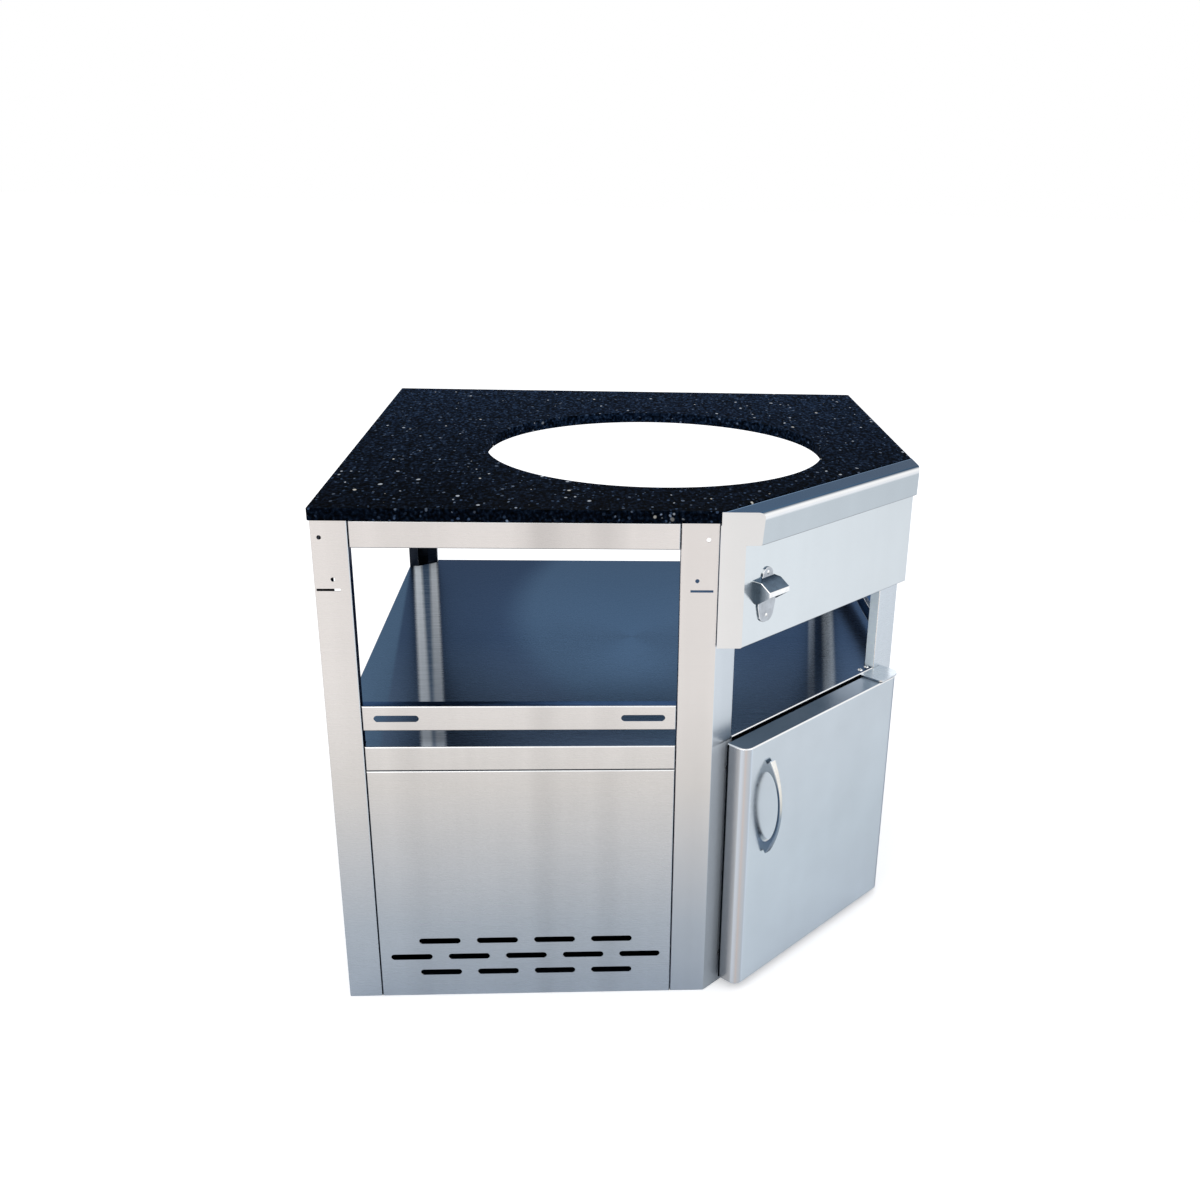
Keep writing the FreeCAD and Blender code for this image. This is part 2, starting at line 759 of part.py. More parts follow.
def make_opener():
    back = -fascia_out
    face = back - opener_plate
    rim = back - opener_reach
    low = opener_mouth_low - past
    tab = opener_tab_width / 2
    tab_low = opener_mouth_low - opener_tab_side
    end = opener_tab_end / 2
    ear = opener_ear_width / 2
    plate = along_y([
        (opener_x - tab, tab_low, opener_tab_corner),
        (opener_x - end, opener_bottom, end),
        (opener_x + end, opener_bottom, end),
        (opener_x + tab, tab_low, opener_tab_corner),
        (opener_x + tab, opener_shoulder, 0),
        (opener_x + ear, opener_ridge, 0),
        (opener_x + ear, opener_top, ear),
        (opener_x - ear, opener_top, ear),
        (opener_x - ear, opener_ridge, 0),
        (opener_x - tab, opener_shoulder, 0),
    ], back, face)
    plate = plate.makeFillet(opener_plate_round, edges_at(plate, lambda e: in_plane(e, "Y", face)))
    # side view of the hood, (y, z): sloping roof, upright rim, slanted mouth
    outer_side = along_x([
        (back, opener_ridge, 0),
        (rim, opener_rim_top, 0),
        (rim, opener_rim_low, 0),
        (face, opener_mouth_low, 0),
        (back, opener_mouth_low, 0),
    ], opener_x - opener_width, opener_x + opener_width)
    # the roof slopes, so the wall is thicker when measured straight down
    inner = rim + opener_wall
    inner_side = along_x([
        (face, opener_ridge - opener_wall * math.sqrt(2), 0),
        (inner, opener_rim_top - opener_wall, 0),
        (inner, low, 0),
        (face, low, 0),
    ], opener_x - opener_width, opener_x + opener_width)
    solid = along_y(hood_outline(0, low), back, rim - past).common(outer_side)
    rounded = edges_at(solid, lambda e: e.BoundBox.YMin < face - opener_round and e.BoundBox.ZMax > opener_rim_top - 1e-3)
    solid = solid.makeFillet(opener_round, rounded)
    hollow = along_y(hood_outline(opener_wall, low - past), face, inner).common(inner_side)
    hood = solid.cut(hollow)
    half = opener_tooth_width / 2
    tooth_low = opener_rim_low + opener_tooth_rise
    tooth = block(opener_x - half, opener_x + half, face - opener_tooth_reach, face,
                  tooth_low, tooth_low + opener_tooth_height)
    body = plate.fuse([hood, tooth]).removeSplitter()
    for level in opener_screw_levels:
        start = (opener_x, back + past, level)
        body = body.cut(rod(opener_screw_radius, start, (0, -1, 0), opener_plate + 2 * past))
    return on_face(body, "door")


bottle_opener = make_opener()


def dome(radius, height, centre, direction):
    # a low round head: the part of a ball that stands out of a plane
    ball_radius = (radius * radius + height * height) / (2 * height)
    d = Vector(*direction)
    base = Vector(*centre)
    ball = Part.makeSphere(ball_radius, base - d * (ball_radius - height))
    return ball.common(Part.makeCylinder(radius, height + past, base, d))


def opener_screw(level):
    seat = -(fascia_out + opener_plate)
    head = dome(opener_screw_head, opener_screw_dome, (opener_x, seat, level), (0, -1, 0))
    shank = rod(opener_screw_radius, (opener_x, seat, level), (0, 1, 0), opener_screw_length)
    outer = opener_socket / math.sqrt(3)
    corners = [(opener_x + outer * math.cos(turn), level + outer * math.sin(turn), 0)
               for turn in (i * math.pi / 3 for i in range(6))]
    crown = seat - opener_screw_dome
    socket = along_y(corners, crown - past, crown + opener_socket_depth)
    return on_face(head.fuse(shank).cut(socket), "door")


opener_screws = [opener_screw(level) for level in opener_screw_levels]
for level in opener_screw_levels:
    hole = rod(opener_screw_radius, (opener_x, -fascia_out - past, level), (0, 1, 0), cover_sheet + 2 * past)
    cover = cover.cut(on_face(hole, "door"))


# Door: an outer pan with rounded upright edges, closed behind by a liner
def door_block(grow):
    # grow is negative for the hollow
    front = -door_out - grow
    body = block(door_left - grow, door_right + grow, front, -door_back, door_low - grow, door_high + grow)
    upright = edges_at(body, lambda e: in_plane(e, "Y", front) and e.BoundBox.ZLength > door_round)
    body = body.makeFillet(door_round + grow, upright)
    rims = edges_at(body, lambda e: e.BoundBox.ZLength < 1e-3 and not in_plane(e, "Y", -door_back))
    return body.makeFillet(door_edge + grow, rims)


def make_door_skin():
    hollow = door_block(-door_sheet)
    back = [f for f in hollow.Faces if abs(f.CenterOfMass.y + door_back) < 1e-3]
    hollow = hollow.fuse(back[0].extrude(Vector(0, past, 0)))
    skin = door_block(0).cut(hollow)
    for z in (door_high, door_low + door_sheet):
        start = (pivot_x, -pivot_out, z - door_sheet - past)
        skin = skin.cut(rod(bush_radius, start, (0, 0, 1), door_sheet + 2 * past))
    return skin


door_skin = make_door_skin()


def make_door_liner():
    inset = door_sheet + liner_gap
    x0 = door_left + inset
    x1 = door_right - inset
    z0 = door_low + inset
    z1 = door_high - inset
    back = -door_back
    front = back - liner_fold
    outer = block(x0, x1, front, back, z0, z1)
    wall = door_sheet
    corners = edges_at(outer, lambda e: e.BoundBox.YLength > liner_fold / 2)
    outer = outer.makeFillet(door_edge - wall, corners)
    hollow = block(x0 + wall, x1 - wall, front - past, back - wall, z0 + wall, z1 - wall)
    return outer.cut(hollow)


door_liner = make_door_liner()


# Pivot hinges
plate_end = pivot_x + plate_round
plate_face = -plate_post_gap


def make_upper_plate():
    left = pivot_x - plate_reach
    front = -(pivot_out + plate_round)
    low = plate_top - hinge_plate
    outer = prism([
        (left, plate_face, 0),
        (left, front, plate_corner),
        (plate_end, front, plate_round),
        (plate_end, plate_face, 0),
    ], low, plate_top)
    tongue = block(left, tongue_right, plate_face, tongue_in, low, plate_top)
    gap = plate_slot_gap
    slot = block(left - gap, tongue_right + gap, -past, sheet + bend, low - gap, plate_top)
    return outer.fuse(tongue).removeSplitter(), slot


def make_lower_plate():
    left = pivot_x - low_plate_reach
    low = low_plate_top - hinge_plate
    inner = sheet + hinge_plate
    outer = prism([
        (left, plate_face, 0),
        (left, -low_plate_out, plate_corner),
        (plate_end, -low_plate_out, plate_corner),
        (plate_end, plate_face, 0),
    ], low, low_plate_top)
    tongue = block(left, tongue_right, plate_face, inner, low, low_plate_top)
    upright = block(left, tongue_right, sheet, inner, low, low_plate_top + low_upright)
    gap = plate_slot_gap
    slot = block(left - gap, tongue_right + gap, -past, sheet + past, low - gap, low_plate_top + gap)
    return outer.fuse([tongue, upright]).removeSplitter(), slot


hinge_plate_upper, upper_slot = make_upper_plate()
hinge_plate_lower, lower_slot = make_lower_plate()
pin_length = hinge_plate - plate_over_pin + pin_into_door
hinge_pin_upper = rod(pin_radius, (pivot_x, -pivot_out, plate_top - plate_over_pin), (0, 0, -1), pin_length)
low_pin_start = low_plate_top - hinge_plate + plate_over_pin
hinge_pin_lower = rod(pin_radius, (pivot_x, -pivot_out, low_pin_start), (0, 0, 1), pin_length)
hinge_plate_upper = hinge_plate_upper.cut(hinge_pin_upper)
hinge_plate_lower = hinge_plate_lower.cut(hinge_pin_lower)


def bush(level, way):
    centre = (pivot_x, -pivot_out, level)
    flange = rod(bush_flange_radius, centre, (0, 0, way), bush_flange)
    barrel = rod(bush_radius, centre, (0, 0, -way), bush_length)
    start = (pivot_x, -pivot_out, level + way * (bush_flange + past))
    bore = rod(pin_radius + pin_play, start, (0, 0, -way), bush_flange + bush_length + 2 * past)
    return flange.fuse(barrel).cut(bore)


hinge_bush_upper = bush(door_high, 1)
hinge_bush_lower = bush(door_low, -1)


def hexagon(radius, centre, direction, height):
    turn = Rotation(Vector(0, 0, 1), Vector(*direction))
    rim = [Vector(radius * math.cos(math.radians(60 * k)), radius * math.sin(math.radians(60 * k)), 0)
           for k in range(7)]
    body = Part.Face(Part.makePolygon(rim)).extrude(Vector(0, 0, height))
    body.Placement = Placement(Vector(*centre), turn)
    return body


hinge_bolts = []
hinge_nuts = []
bolt_holes = []


def hinge_bolt(seat, way, radius, height):
    # a domed bolt through sheet and plate; way points from its head to its nut
    d = Vector(*way)
    grip = sheet + hinge_plate
    length = grip + nut_height + bolt_past_nut
    shank = rod(bolt_radius, seat, way, length)
    hinge_bolts.append(dome(radius, height, seat, tuple(-d)).fuse(shank))
    bolt_holes.append(shank)
    nut = hexagon(nut_radius, tuple(Vector(*seat) + d * grip), way, nut_height)
    hinge_nuts.append(nut.cut(shank))


for offset in bolt_offsets:
    hinge_bolt((pivot_x + offset, bolt_in, shelf_level), (0, 0, -1), bolt_head_radius, bolt_head)
for offset in low_bolt_offsets:
    seat = (pivot_x + offset, 0, low_plate_top + low_bolt_rise)
    hinge_bolt(seat, (0, 1, 0), low_bolt_head_radius, low_bolt_head)

hinge_plate_upper = hinge_plate_upper.cut(bolt_holes)
hinge_plate_lower = hinge_plate_lower.cut(bolt_holes)
placed_holes = [on_face(hole, "door") for hole in bolt_holes]
shelf = shelf.cut(placed_holes + [on_face(upper_slot, "door")])
cupboard_floor = cupboard_floor.cut(placed_holes + [on_face(lower_slot, "door")])


# Door handle
def make_handle():
    half = handle_length / 2
    base = handle_base / 2
    opening = handle_opening / 2
    wide = handle_end_width / 2
    narrow = handle_width / 2

    def side_point(z, out):
        return Vector(handle_x - wide - past, -door_out - out, handle_level + z)

    def front_point(x, z):
        return Vector(handle_x + x, 0, handle_level + z)

    bow = Part.Arc(side_point(-half, handle_end_reach), side_point(0, handle_reach), side_point(half, handle_end_reach))
    tip = side_point(opening, 0)
    ellipse = Part.Ellipse(tip, side_point(0, handle_opening_reach), side_point(0, 0))
    inner = [tip, side_point(0, handle_opening_reach), side_point(-opening, 0)]
    start, end = ellipse.parameter(inner[0]), ellipse.parameter(inner[2])
    if (ellipse.value((start + end) / 2) - inner[1]).Length > past:
        start, end = end, start + 2 * math.pi
    grip = Part.ArcOfEllipse(ellipse, start, end).toShape()
    outline = [bow.toShape(), grip]
    for way in (-1, 1):
        corners = [side_point(way * half, handle_end_reach), side_point(way * base, 0), side_point(way * opening, 0)]
        outline.append(Part.LineSegment(corners[0], corners[1]).toShape())
        outline.append(Part.LineSegment(corners[1], corners[2]).toShape())
    side_view = Part.Face(Part.Wire(Part.__sortEdges__(outline)))
    body = side_view.extrude(Vector(2 * (wide + past), 0, 0))
    left = Part.Arc(front_point(-wide, -half), front_point(-narrow, 0), front_point(-wide, half))
    right = Part.Arc(front_point(wide, -half), front_point(narrow, 0), front_point(wide, half))
    edges = [left.toShape(), right.toShape()]
    for way in (-1, 1):
        edges.append(Part.LineSegment(front_point(-wide, way * half), front_point(wide, way * half)).toShape())
    front_view = Part.Face(Part.Wire(Part.__sortEdges__(edges)))
    body = body.common(front_view.extrude(Vector(0, -door_out - handle_reach - past, 0)))
    body = body.makeFillet(handle_round, [e for e in body.Edges if not in_plane(e, "Y", -door_out)])
    bores = []
    for z in handle_feet:
        bores.append(rod(handle_screw_radius, (handle_x, past - door_out, z), (0, -1, 0), handle_screw_depth + past))
    return body.cut(bores)


door_handle = make_handle()
handle_screws = []
for z in handle_feet:
    seat = -door_out + door_sheet
    head = rod(handle_screw_head, (handle_x, seat, z), (0, 1, 0), handle_screw_head_height)
    shank = rod(handle_screw_radius, (handle_x, seat, z), (0, -1, 0), door_sheet + handle_screw_depth)
    handle_screws.append(head.fuse(shank))
    door_skin = door_skin.cut(shank)


# Magnetic catch under the shelf's flange, its strike on the door, and rubber bumpers
catch_top = shelf_level - shelf_flange
half_catch = catch_width / 2
strike_face = strike_sheet - door_back
magnetic_catch = block(catch_x - half_catch, catch_x + half_catch, strike_face + catch_gap, catch_in,
                       catch_top - catch_height, catch_top)
front_edges = edges_at(magnetic_catch, lambda e: e.BoundBox.YLength > catch_in)
magnetic_catch = magnetic_catch.makeFillet(catch_round, front_edges)
catch_screws = []
catch_holes = []
catch_screw_in = lip / 2
for way in (-1, 1):
    x = catch_x + way * catch_screw_pitch / 2
    start = (x, catch_screw_in, catch_top + sheet)
    head = rod(catch_screw_radius * 2, start, (0, 0, 1), catch_screw_radius)
    shank = rod(catch_screw_radius, start, (0, 0, -1), sheet + catch_height / 2)
    catch_screws.append(head.fuse(shank))
    catch_holes.append(rod(catch_screw_radius, start, (0, 0, -1), sheet + catch_height / 2))
magnetic_catch = magnetic_catch.cut(catch_holes)
shelf = shelf.cut([on_face(hole, "door") for hole in catch_holes])
catch_middle = catch_top - catch_height / 2
half_strike = strike_width / 2
catch_strike = block(catch_x - half_strike, catch_x + half_strike, -door_back, strike_face,
                     catch_middle - strike_height / 2, catch_middle + strike_height / 2)
bumper_length = door_back - bumper_gap
bumper_x = door_left + bumper_in
door_bumpers = [on_face(rod(bumper_radius, (bumper_x, 0, z), (0, -1, 0), bumper_length), "door")
                for z in (door_low + bumper_end, door_high - bumper_end)]


# Every piece under its own name
parts["worktop"] = worktop
parts["post_front_left"] = post_front_left
parts["post_door_handle_side"] = post_door_handle
parts["post_door_hinge_side"] = post_door_hinge
parts["post_back_right"] = post_back_right
parts["post_back_left"] = post_back_left
for face, rail in top_rails.items():
    parts["top_rail_" + face] = rail
for face, rail in slotted_rails.items():
    parts["slotted_rail_" + face] = rail
parts["shelf"] = shelf
for name, i in (("front", -1), ("middle", 0), ("back", 1)):
    parts["shelf_brace_" + name] = brace(brace_middle + i * brace_pitch)
parts["cupboard_floor"] = cupboard_floor
parts.update(panels)
parts["fascia_cover"] = cover
parts["cover_screws"] = Part.makeCompound(cover_screws)
parts["bottle_opener"] = bottle_opener
parts["opener_screws"] = Part.makeCompound(opener_screws)
parts["magnetic_catch"] = on_face(magnetic_catch, "door")
parts["catch_screws"] = on_face(Part.makeCompound(catch_screws), "door")
parts["door_bumpers"] = Part.makeCompound(door_bumpers)
parts["hinge_plate_upper"] = on_face(hinge_plate_upper, "door")
parts["hinge_plate_lower"] = on_face(hinge_plate_lower, "door")
parts["hinge_pin_upper"] = on_face(hinge_pin_upper, "door")
parts["hinge_pin_lower"] = on_face(hinge_pin_lower, "door")
parts["hinge_bolts"] = on_face(Part.makeCompound(hinge_bolts), "door")
parts["hinge_nuts"] = on_face(Part.makeCompound(hinge_nuts), "door")
for group, bodies in rivets.items():
    parts[group] = Part.makeCompound(bodies)
parts["door_skin"] = on_face(door_skin, "door")
parts["door_liner"] = on_face(door_liner, "door")
parts["door_handle"] = on_face(door_handle, "door")
parts["handle_screws"] = on_face(Part.makeCompound(handle_screws), "door")
parts["hinge_bush_upper"] = on_face(hinge_bush_upper, "door")
parts["hinge_bush_lower"] = on_face(hinge_bush_lower, "door")
parts["catch_strike"] = on_face(catch_strike, "door")

os.makedirs("parts", exist_ok=True)
for name, shape in parts.items():
    placed = shape.copy()
    placed.translate(origin)
    parts[name] = placed
    placed.exportStep("parts/" + name + ".step")
    print(name, len(placed.Solids), "solids", round(placed.Volume / 1000, 1), "cm3", placed.isValid())
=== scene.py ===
import bpy
import math
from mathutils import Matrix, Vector

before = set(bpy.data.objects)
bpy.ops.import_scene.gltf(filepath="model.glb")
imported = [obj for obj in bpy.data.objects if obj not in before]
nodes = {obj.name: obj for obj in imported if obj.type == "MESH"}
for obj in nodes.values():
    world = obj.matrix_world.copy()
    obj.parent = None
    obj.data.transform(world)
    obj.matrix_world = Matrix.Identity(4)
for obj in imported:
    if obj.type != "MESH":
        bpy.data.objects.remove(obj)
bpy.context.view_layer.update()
print("frame loaded:", len(nodes), "pieces")


def hexToLinear(code):
    parts = [int(code[i:i + 2], 16) / 255 for i in (1, 3, 5)]
    return [p / 12.92 if p <= 0.04045 else ((p + 0.055) / 1.055) ** 2.4 for p in parts] + [1.0]


def addNode(tree, kind, settings=None, links=None):
    # a setting is a property, the value of an input, or the stops of a ramp; a link feeds an input
    node = tree.nodes.new("ShaderNode" + kind)
    for name, value in (settings or {}).items():
        if name == "stops":
            elements = node.color_ramp.elements
            while len(elements) < len(value):
                elements.new(0.5)
            for element, (position, code) in zip(elements, value):
                element.position = position
                element.color = hexToLinear(code)
        elif isinstance(name, int) or name in node.inputs:
            node.inputs[name].default_value = value
        else:
            setattr(node, name, value)
    for name, source in (links or {}).items():
        tree.links.new(source, node.inputs[name])
    return node


# ways on the diagonal side: out through the door, and to the right and left along it
doorOut, doorRight, doorLeft = (0.7071, -0.7071, 0), (0.7071, 0.7071, 0), (-0.7071, -0.7071, 0)
tableHeight = 0.9
noiseSpan = {"From Min": 0.3, "From Max": 0.7}          # nearly all of a noise lies between these
levelTurn = {"From Min": 0.6, "From Max": 0.8}          # rise of the normal over which a face counts as level


def newMaterial(name):
    material = bpy.data.materials.new(name)
    material.use_nodes = True
    tree = material.node_tree
    place = addNode(tree, "TexCoord")
    return material, tree, tree.nodes["Principled BSDF"], place


# Sheet of AISI 304 stainless steel, ground with a fine belt. The belt's lines lie level, so the sheet smears
# what it reflects into upright bands. Its colour holds painted reflections: upright faces run from warm at the top
# to blue-grey near the ground, a painted highlight makes a white line on each fold, what looks up is painted dark
# blue, and what looks down is painted shade.
sheetSteel = {
    "upright": [(0.02, "#A3ADB9"), (0.16, "#ABB3BC"), (0.30, "#BDBFC2"), (0.47, "#D1CDC9"), (0.62, "#DBD6D2"),
                (0.95, "#DED8D4")],                 # the square sides by height in 0.9 m, a painted reflection, warm at the top and blue-grey near the ground
    # the diagonal side by height, a painted reflection, cooler than the square sides
    "diagonal": [(0.02, "#A8B3BE"), (0.3, "#BAC4CE"), (0.5, "#D2DAE1"), (0.95, "#D6DEE5")],
    "fold": "#FAFBFC",                  # a painted highlight on a fold between upright and level
    "top": "#43597A",                   # painted dark-blue reflection on faces that look up
    "under": "#4C5A6C",                 # painted shade on faces that look down
    "inner": "#A9B6C4",                 # painted light and shade of upright faces that look into the cabinet
    "across": None,                     # along a piece, where its ends are painted with the shade of a dark seam
    "bothEnds": True,                   # or only the end that faces along that way
    "seam": "#3F4C5F",
    "topEnd": None,                     # the painted reflection that a face that looks up turns into towards its right end
    "halfLength": 0.22,                 # of such a face, along the diagonal
    "topTurn": (0.86, 0.985),           # rise of the normal over which a fold turns into the face that looks up
    "metal": 1.0,                       # metallic share
    "dull": 1.0,                        # the same for the faces that look into the cabinet
    "dullBelow": None,                  # height under which the diagonal faces, behind the door, share it
    "roughness": 0.27,
    "anisotropy": 0.55,
    "grainWidth": 0.0014,               # the real lines are 0.05 mm wide, drawn coarser so that they show
    "grainLength": 0.06,
    "bandWidth": 0.05,
    "bandDepth": 0.035,
    "grainDepth": 0.02,
    "cloudSize": 0.09,                  # faint smears of the last wipe
    "cloudDepth": 0.012,
    "smears": [],                       # painted reflection bands, upright and darker: middle along X, half width, share taken off
}


def makeSheetSteel(name, **changes):
    facts = {**sheetSteel, **changes}
    material, tree, shader, place = newMaterial(name)
    spot = addNode(tree, "SeparateXYZ", links={0: place.outputs["Object"]})
    turn = place.outputs["Normal"]
    rise = addNode(tree, "SeparateXYZ", links={0: turn}).outputs["Z"]
    height = addNode(tree, "Math", {"operation": "DIVIDE", 1: tableHeight}, {0: spot.outputs["Z"]}).outputs[0]
    upright = addNode(tree, "ValToRGB", {"stops": facts["upright"]}, {0: height}).outputs[0]
    diagonal = addNode(tree, "ValToRGB", {"stops": facts["diagonal"]}, {0: height}).outputs[0]
    toDoor = addNode(tree, "VectorMath", {"operation": "DOT_PRODUCT", 1: doorOut}, {0: turn}).outputs["Value"]
    diagonalShare = addNode(tree, "MapRange", {"From Min": 0.78, "From Max": 0.96}, {0: toDoor}).outputs[0]
    colour = addNode(tree, "Mix", {"data_type": "RGBA"}, {0: diagonalShare, 6: upright, 7: diagonal}).outputs[2]
    # a face that looks towards the middle of the cabinet, painted with its light and shade
    outward = addNode(tree, "VectorMath", {"operation": "MULTIPLY", 1: (1, 1, 0)}, {0: place.outputs["Object"]})
    away = addNode(tree, "VectorMath", {"operation": "DOT_PRODUCT"}, {0: turn, 1: outward.outputs[0]})
    step = addNode(tree, "MapRange", {"From Min": 0.0, "From Max": -0.03}, {0: away.outputs["Value"]})
    colour = addNode(tree, "Mix", {"data_type": "RGBA", 7: hexToLinear(facts["inner"])},
                     {0: step.outputs[0], 6: colour}).outputs[2]
    dull = step.outputs[0]
    if facts["dullBelow"]:
        low = addNode(tree, "Math", {"operation": "LESS_THAN", 1: facts["dullBelow"]}, {0: spot.outputs["Z"]})
        low = addNode(tree, "Math", {"operation": "MULTIPLY"}, {0: low.outputs[0], 1: diagonalShare}).outputs[0]
        dull = addNode(tree, "Math", {"operation": "MAXIMUM"}, {0: low, 1: dull}).outputs[0]
    metal = addNode(tree, "MapRange", {"To Min": 1.0, "To Max": facts["dull"]}, {0: dull}).outputs[0]
    # painted shade of the seams on the ends of a piece
    if facts["across"]:
        sideways = addNode(tree, "VectorMath", {"operation": "DOT_PRODUCT", 1: facts["across"]}, {0: turn})
        size = sideways.outputs["Value"]
        if facts["bothEnds"]:
            size = addNode(tree, "Math", {"operation": "ABSOLUTE"}, {0: size}).outputs[0]
        step = addNode(tree, "MapRange", {"From Min": 0.3, "From Max": 0.7}, {0: size})
        colour = addNode(tree, "Mix", {"data_type": "RGBA", 7: hexToLinear(facts["seam"])},
                         {0: step.outputs[0], 6: colour}).outputs[2]
    # what looks up gets its painted reflection, changing towards its right end
    along = addNode(tree, "VectorMath", {"operation": "DOT_PRODUCT", 1: doorRight},
                    {0: place.outputs["Object"]}).outputs["Value"]
    along = addNode(tree, "MapRange", {"From Min": -facts["halfLength"], "From Max": facts["halfLength"]},
                    {0: along}).outputs[0]
    topStops = [(0.6, facts["top"]), (1.0, facts["topEnd"] or facts["top"])]
    top = addNode(tree, "ValToRGB", {"stops": topStops}, {0: along}).outputs[0]
    # painted highlight on the folds, painted reflection on what looks up, painted shade on what looks down
    for low, high, code in ((0.08, 0.25, facts["fold"]), (*facts["topTurn"], None), (-0.3, -0.8, facts["under"])):
        step = addNode(tree, "MapRange", {"From Min": low, "From Max": high}, {0: rise})
        mix = addNode(tree, "Mix", {"data_type": "RGBA"}, {0: step.outputs[0], 6: colour})
        if code:
            mix.inputs[7].default_value = hexToLinear(code)
        else:
            tree.links.new(top, mix.inputs[7])
        colour = mix.outputs[2]
    # lines lie level on upright faces and run left to right on level ones
    size = addNode(tree, "Math", {"operation": "ABSOLUTE"}, {0: rise}).outputs[0]
    level = addNode(tree, "MapRange", levelTurn, {0: size}).outputs[0]
    fine, long, wide = 1 / facts["grainWidth"], 1 / facts["grainLength"], 1 / facts["bandWidth"]
    shades = []
    for stretches, detail, depth in ((((wide, wide, 0.5), (wide, 0.5, wide)), 2, facts["bandDepth"]),
                                     (((long, long, fine), (long, fine, fine)), 3, facts["grainDepth"])):
        standing, lying = [addNode(tree, "Mapping", {"Scale": s}, {"Vector": place.outputs["Object"]}).outputs[0]
                           for s in stretches]
        where = addNode(tree, "Mix", {"data_type": "VECTOR"}, {0: level, 4: standing, 5: lying}).outputs[1]
        pattern = addNode(tree, "TexNoise", {"Scale": 1.0, "Detail": detail, "Roughness": 0.55}, {"Vector": where})
        shades.append(pattern.outputs[0])
        shade = addNode(tree, "MapRange", {**noiseSpan, "To Min": 1 - depth, "To Max": 1 + depth},
                        {0: pattern.outputs[0]}).outputs[0]
        colour = addNode(tree, "Mix", {"data_type": "RGBA", "blend_type": "MULTIPLY", 0: 1.0},
                         {6: colour, 7: shade}).outputs[2]
    cloud = addNode(tree, "TexNoise", {"Scale": 1 / facts["cloudSize"], "Detail": 4.0},
                    {"Vector": place.outputs["Object"]})
    depth = facts["cloudDepth"]
    shade = addNode(tree, "MapRange", {**noiseSpan, "To Min": 1 - depth, "To Max": 1 + depth},
                    {0: cloud.outputs[0]}).outputs[0]
    colour = addNode(tree, "Mix", {"data_type": "RGBA", "blend_type": "MULTIPLY", 0: 1.0},
                     {6: colour, 7: shade}).outputs[2]
    # painted darker reflection bands, upright
    for middle, half, depth in facts["smears"]:
        off = addNode(tree, "Math", {"operation": "SUBTRACT", 1: middle}, {0: spot.outputs["X"]}).outputs[0]
        size = addNode(tree, "Math", {"operation": "ABSOLUTE"}, {0: off}).outputs[0]
        shade = addNode(tree, "MapRange", {"interpolation_type": "SMOOTHSTEP", "From Max": half,
                                           "To Min": 1 - depth, "To Max": 1.0}, {0: size}).outputs[0]
        colour = addNode(tree, "Mix", {"data_type": "RGBA", "blend_type": "MULTIPLY", 0: 1.0},
                         {6: colour, 7: shade}).outputs[2]
    bump = addNode(tree, "Bump", {"Strength": 0.015, "Distance": 0.0002}, {"Height": shades[1]})
    rough = addNode(tree, "MapRange", {**noiseSpan, "To Min": facts["roughness"] - 0.03,
                                       "To Max": facts["roughness"] + 0.03}, {0: shades[1]})
    tangent = addNode(tree, "Tangent", {"direction_type": "RADIAL", "axis": "Z"})
    tree.links.new(tangent.outputs[0], shader.inputs["Tangent"])
    tree.links.new(bump.outputs[0], shader.inputs["Normal"])
    tree.links.new(rough.outputs[0], shader.inputs["Roughness"])
    if facts["dull"] < 1:
        tree.links.new(metal, shader.inputs["Metallic"])
    else:
        shader.inputs["Metallic"].default_value = facts["metal"]
    shader.inputs["Anisotropic"].default_value = facts["anisotropy"]
    shader.inputs["Specular Tint"].default_value = (0.4, 0.42, 0.46, 1.0)
    return material, tree, shader, place, colour


def finishSteel(made, colour=None):
    material, tree, shader, place, plain = made
    tree.links.new(colour or plain, shader.inputs["Base Color"])
    return material


# painted darker reflection bands on the front sheets and rails
frontSmears = [(-0.345, 0.09, 0.03), (-0.160, 0.045, 0.07), (-0.050, 0.035, 0.075), (-0.105, 0.06, 0.02)]
frontSteel = finishSteel(makeSheetSteel("brushedSteelFront", across=(1, 0, 0), smears=frontSmears, dull=0.4))
railSmears = [(-0.345, 0.06, 0.05), (-0.155, 0.055, 0.16), (-0.100, 0.09, 0.1), (-0.050, 0.04, 0.13)]
railSteel = finishSteel(makeSheetSteel("brushedSteelFrontRail", across=(1, 0, 0), smears=railSmears))
rightSteel = finishSteel(makeSheetSteel("brushedSteelRight", across=(0, 1, 0), dull=0.4))
# the front posts' returns that look into the cabinet are painted dark navy as shade, and the handle-side post's
# diagonal face is painted darker below half its height, as the shade beside the door
frontPostSteel = finishSteel(makeSheetSteel("brushedSteelFrontPost", inner="#1C2E49"))
handlePostSteel = finishSteel(makeSheetSteel(
    "brushedSteelHandlePost", inner="#1C2E49", dull=0.35, dullBelow=0.49, roughness=0.33, grainDepth=0.008,
    diagonal=[(0.02, "#A0A9B2"), (0.53, "#B4BCC4"), (0.56, "#D2DAE1"), (0.95, "#D6DEE5")]))
# the other frame pieces: faces that look into the cabinet painted light grey, as their light
frameSteel = finishSteel(makeSheetSteel("brushedSteelFrame", inner="#C9CED6", dull=0.4))
# the back posts: faces that look into the cabinet painted light, and the end that looks to the front painted dark as
# shade
backPostSteel = finishSteel(makeSheetSteel("brushedSteelBackPost", inner="#D5DAE2", dull=0.3, across=(0, -1, 0),
                                           bothEnds=False, seam="#141C28"))
# the hinge-side post's face that looks into the cabinet is painted light blue, as the light it catches
hingePostSteel = finishSteel(makeSheetSteel("brushedSteelHingePost", inner="#E8F6FF", dull=0.0))
# the hinge plates' faces that look up are painted pale, as a painted reflection
plateSteel = finishSteel(makeSheetSteel("groundSteelPlate", top="#F4FAFF"))


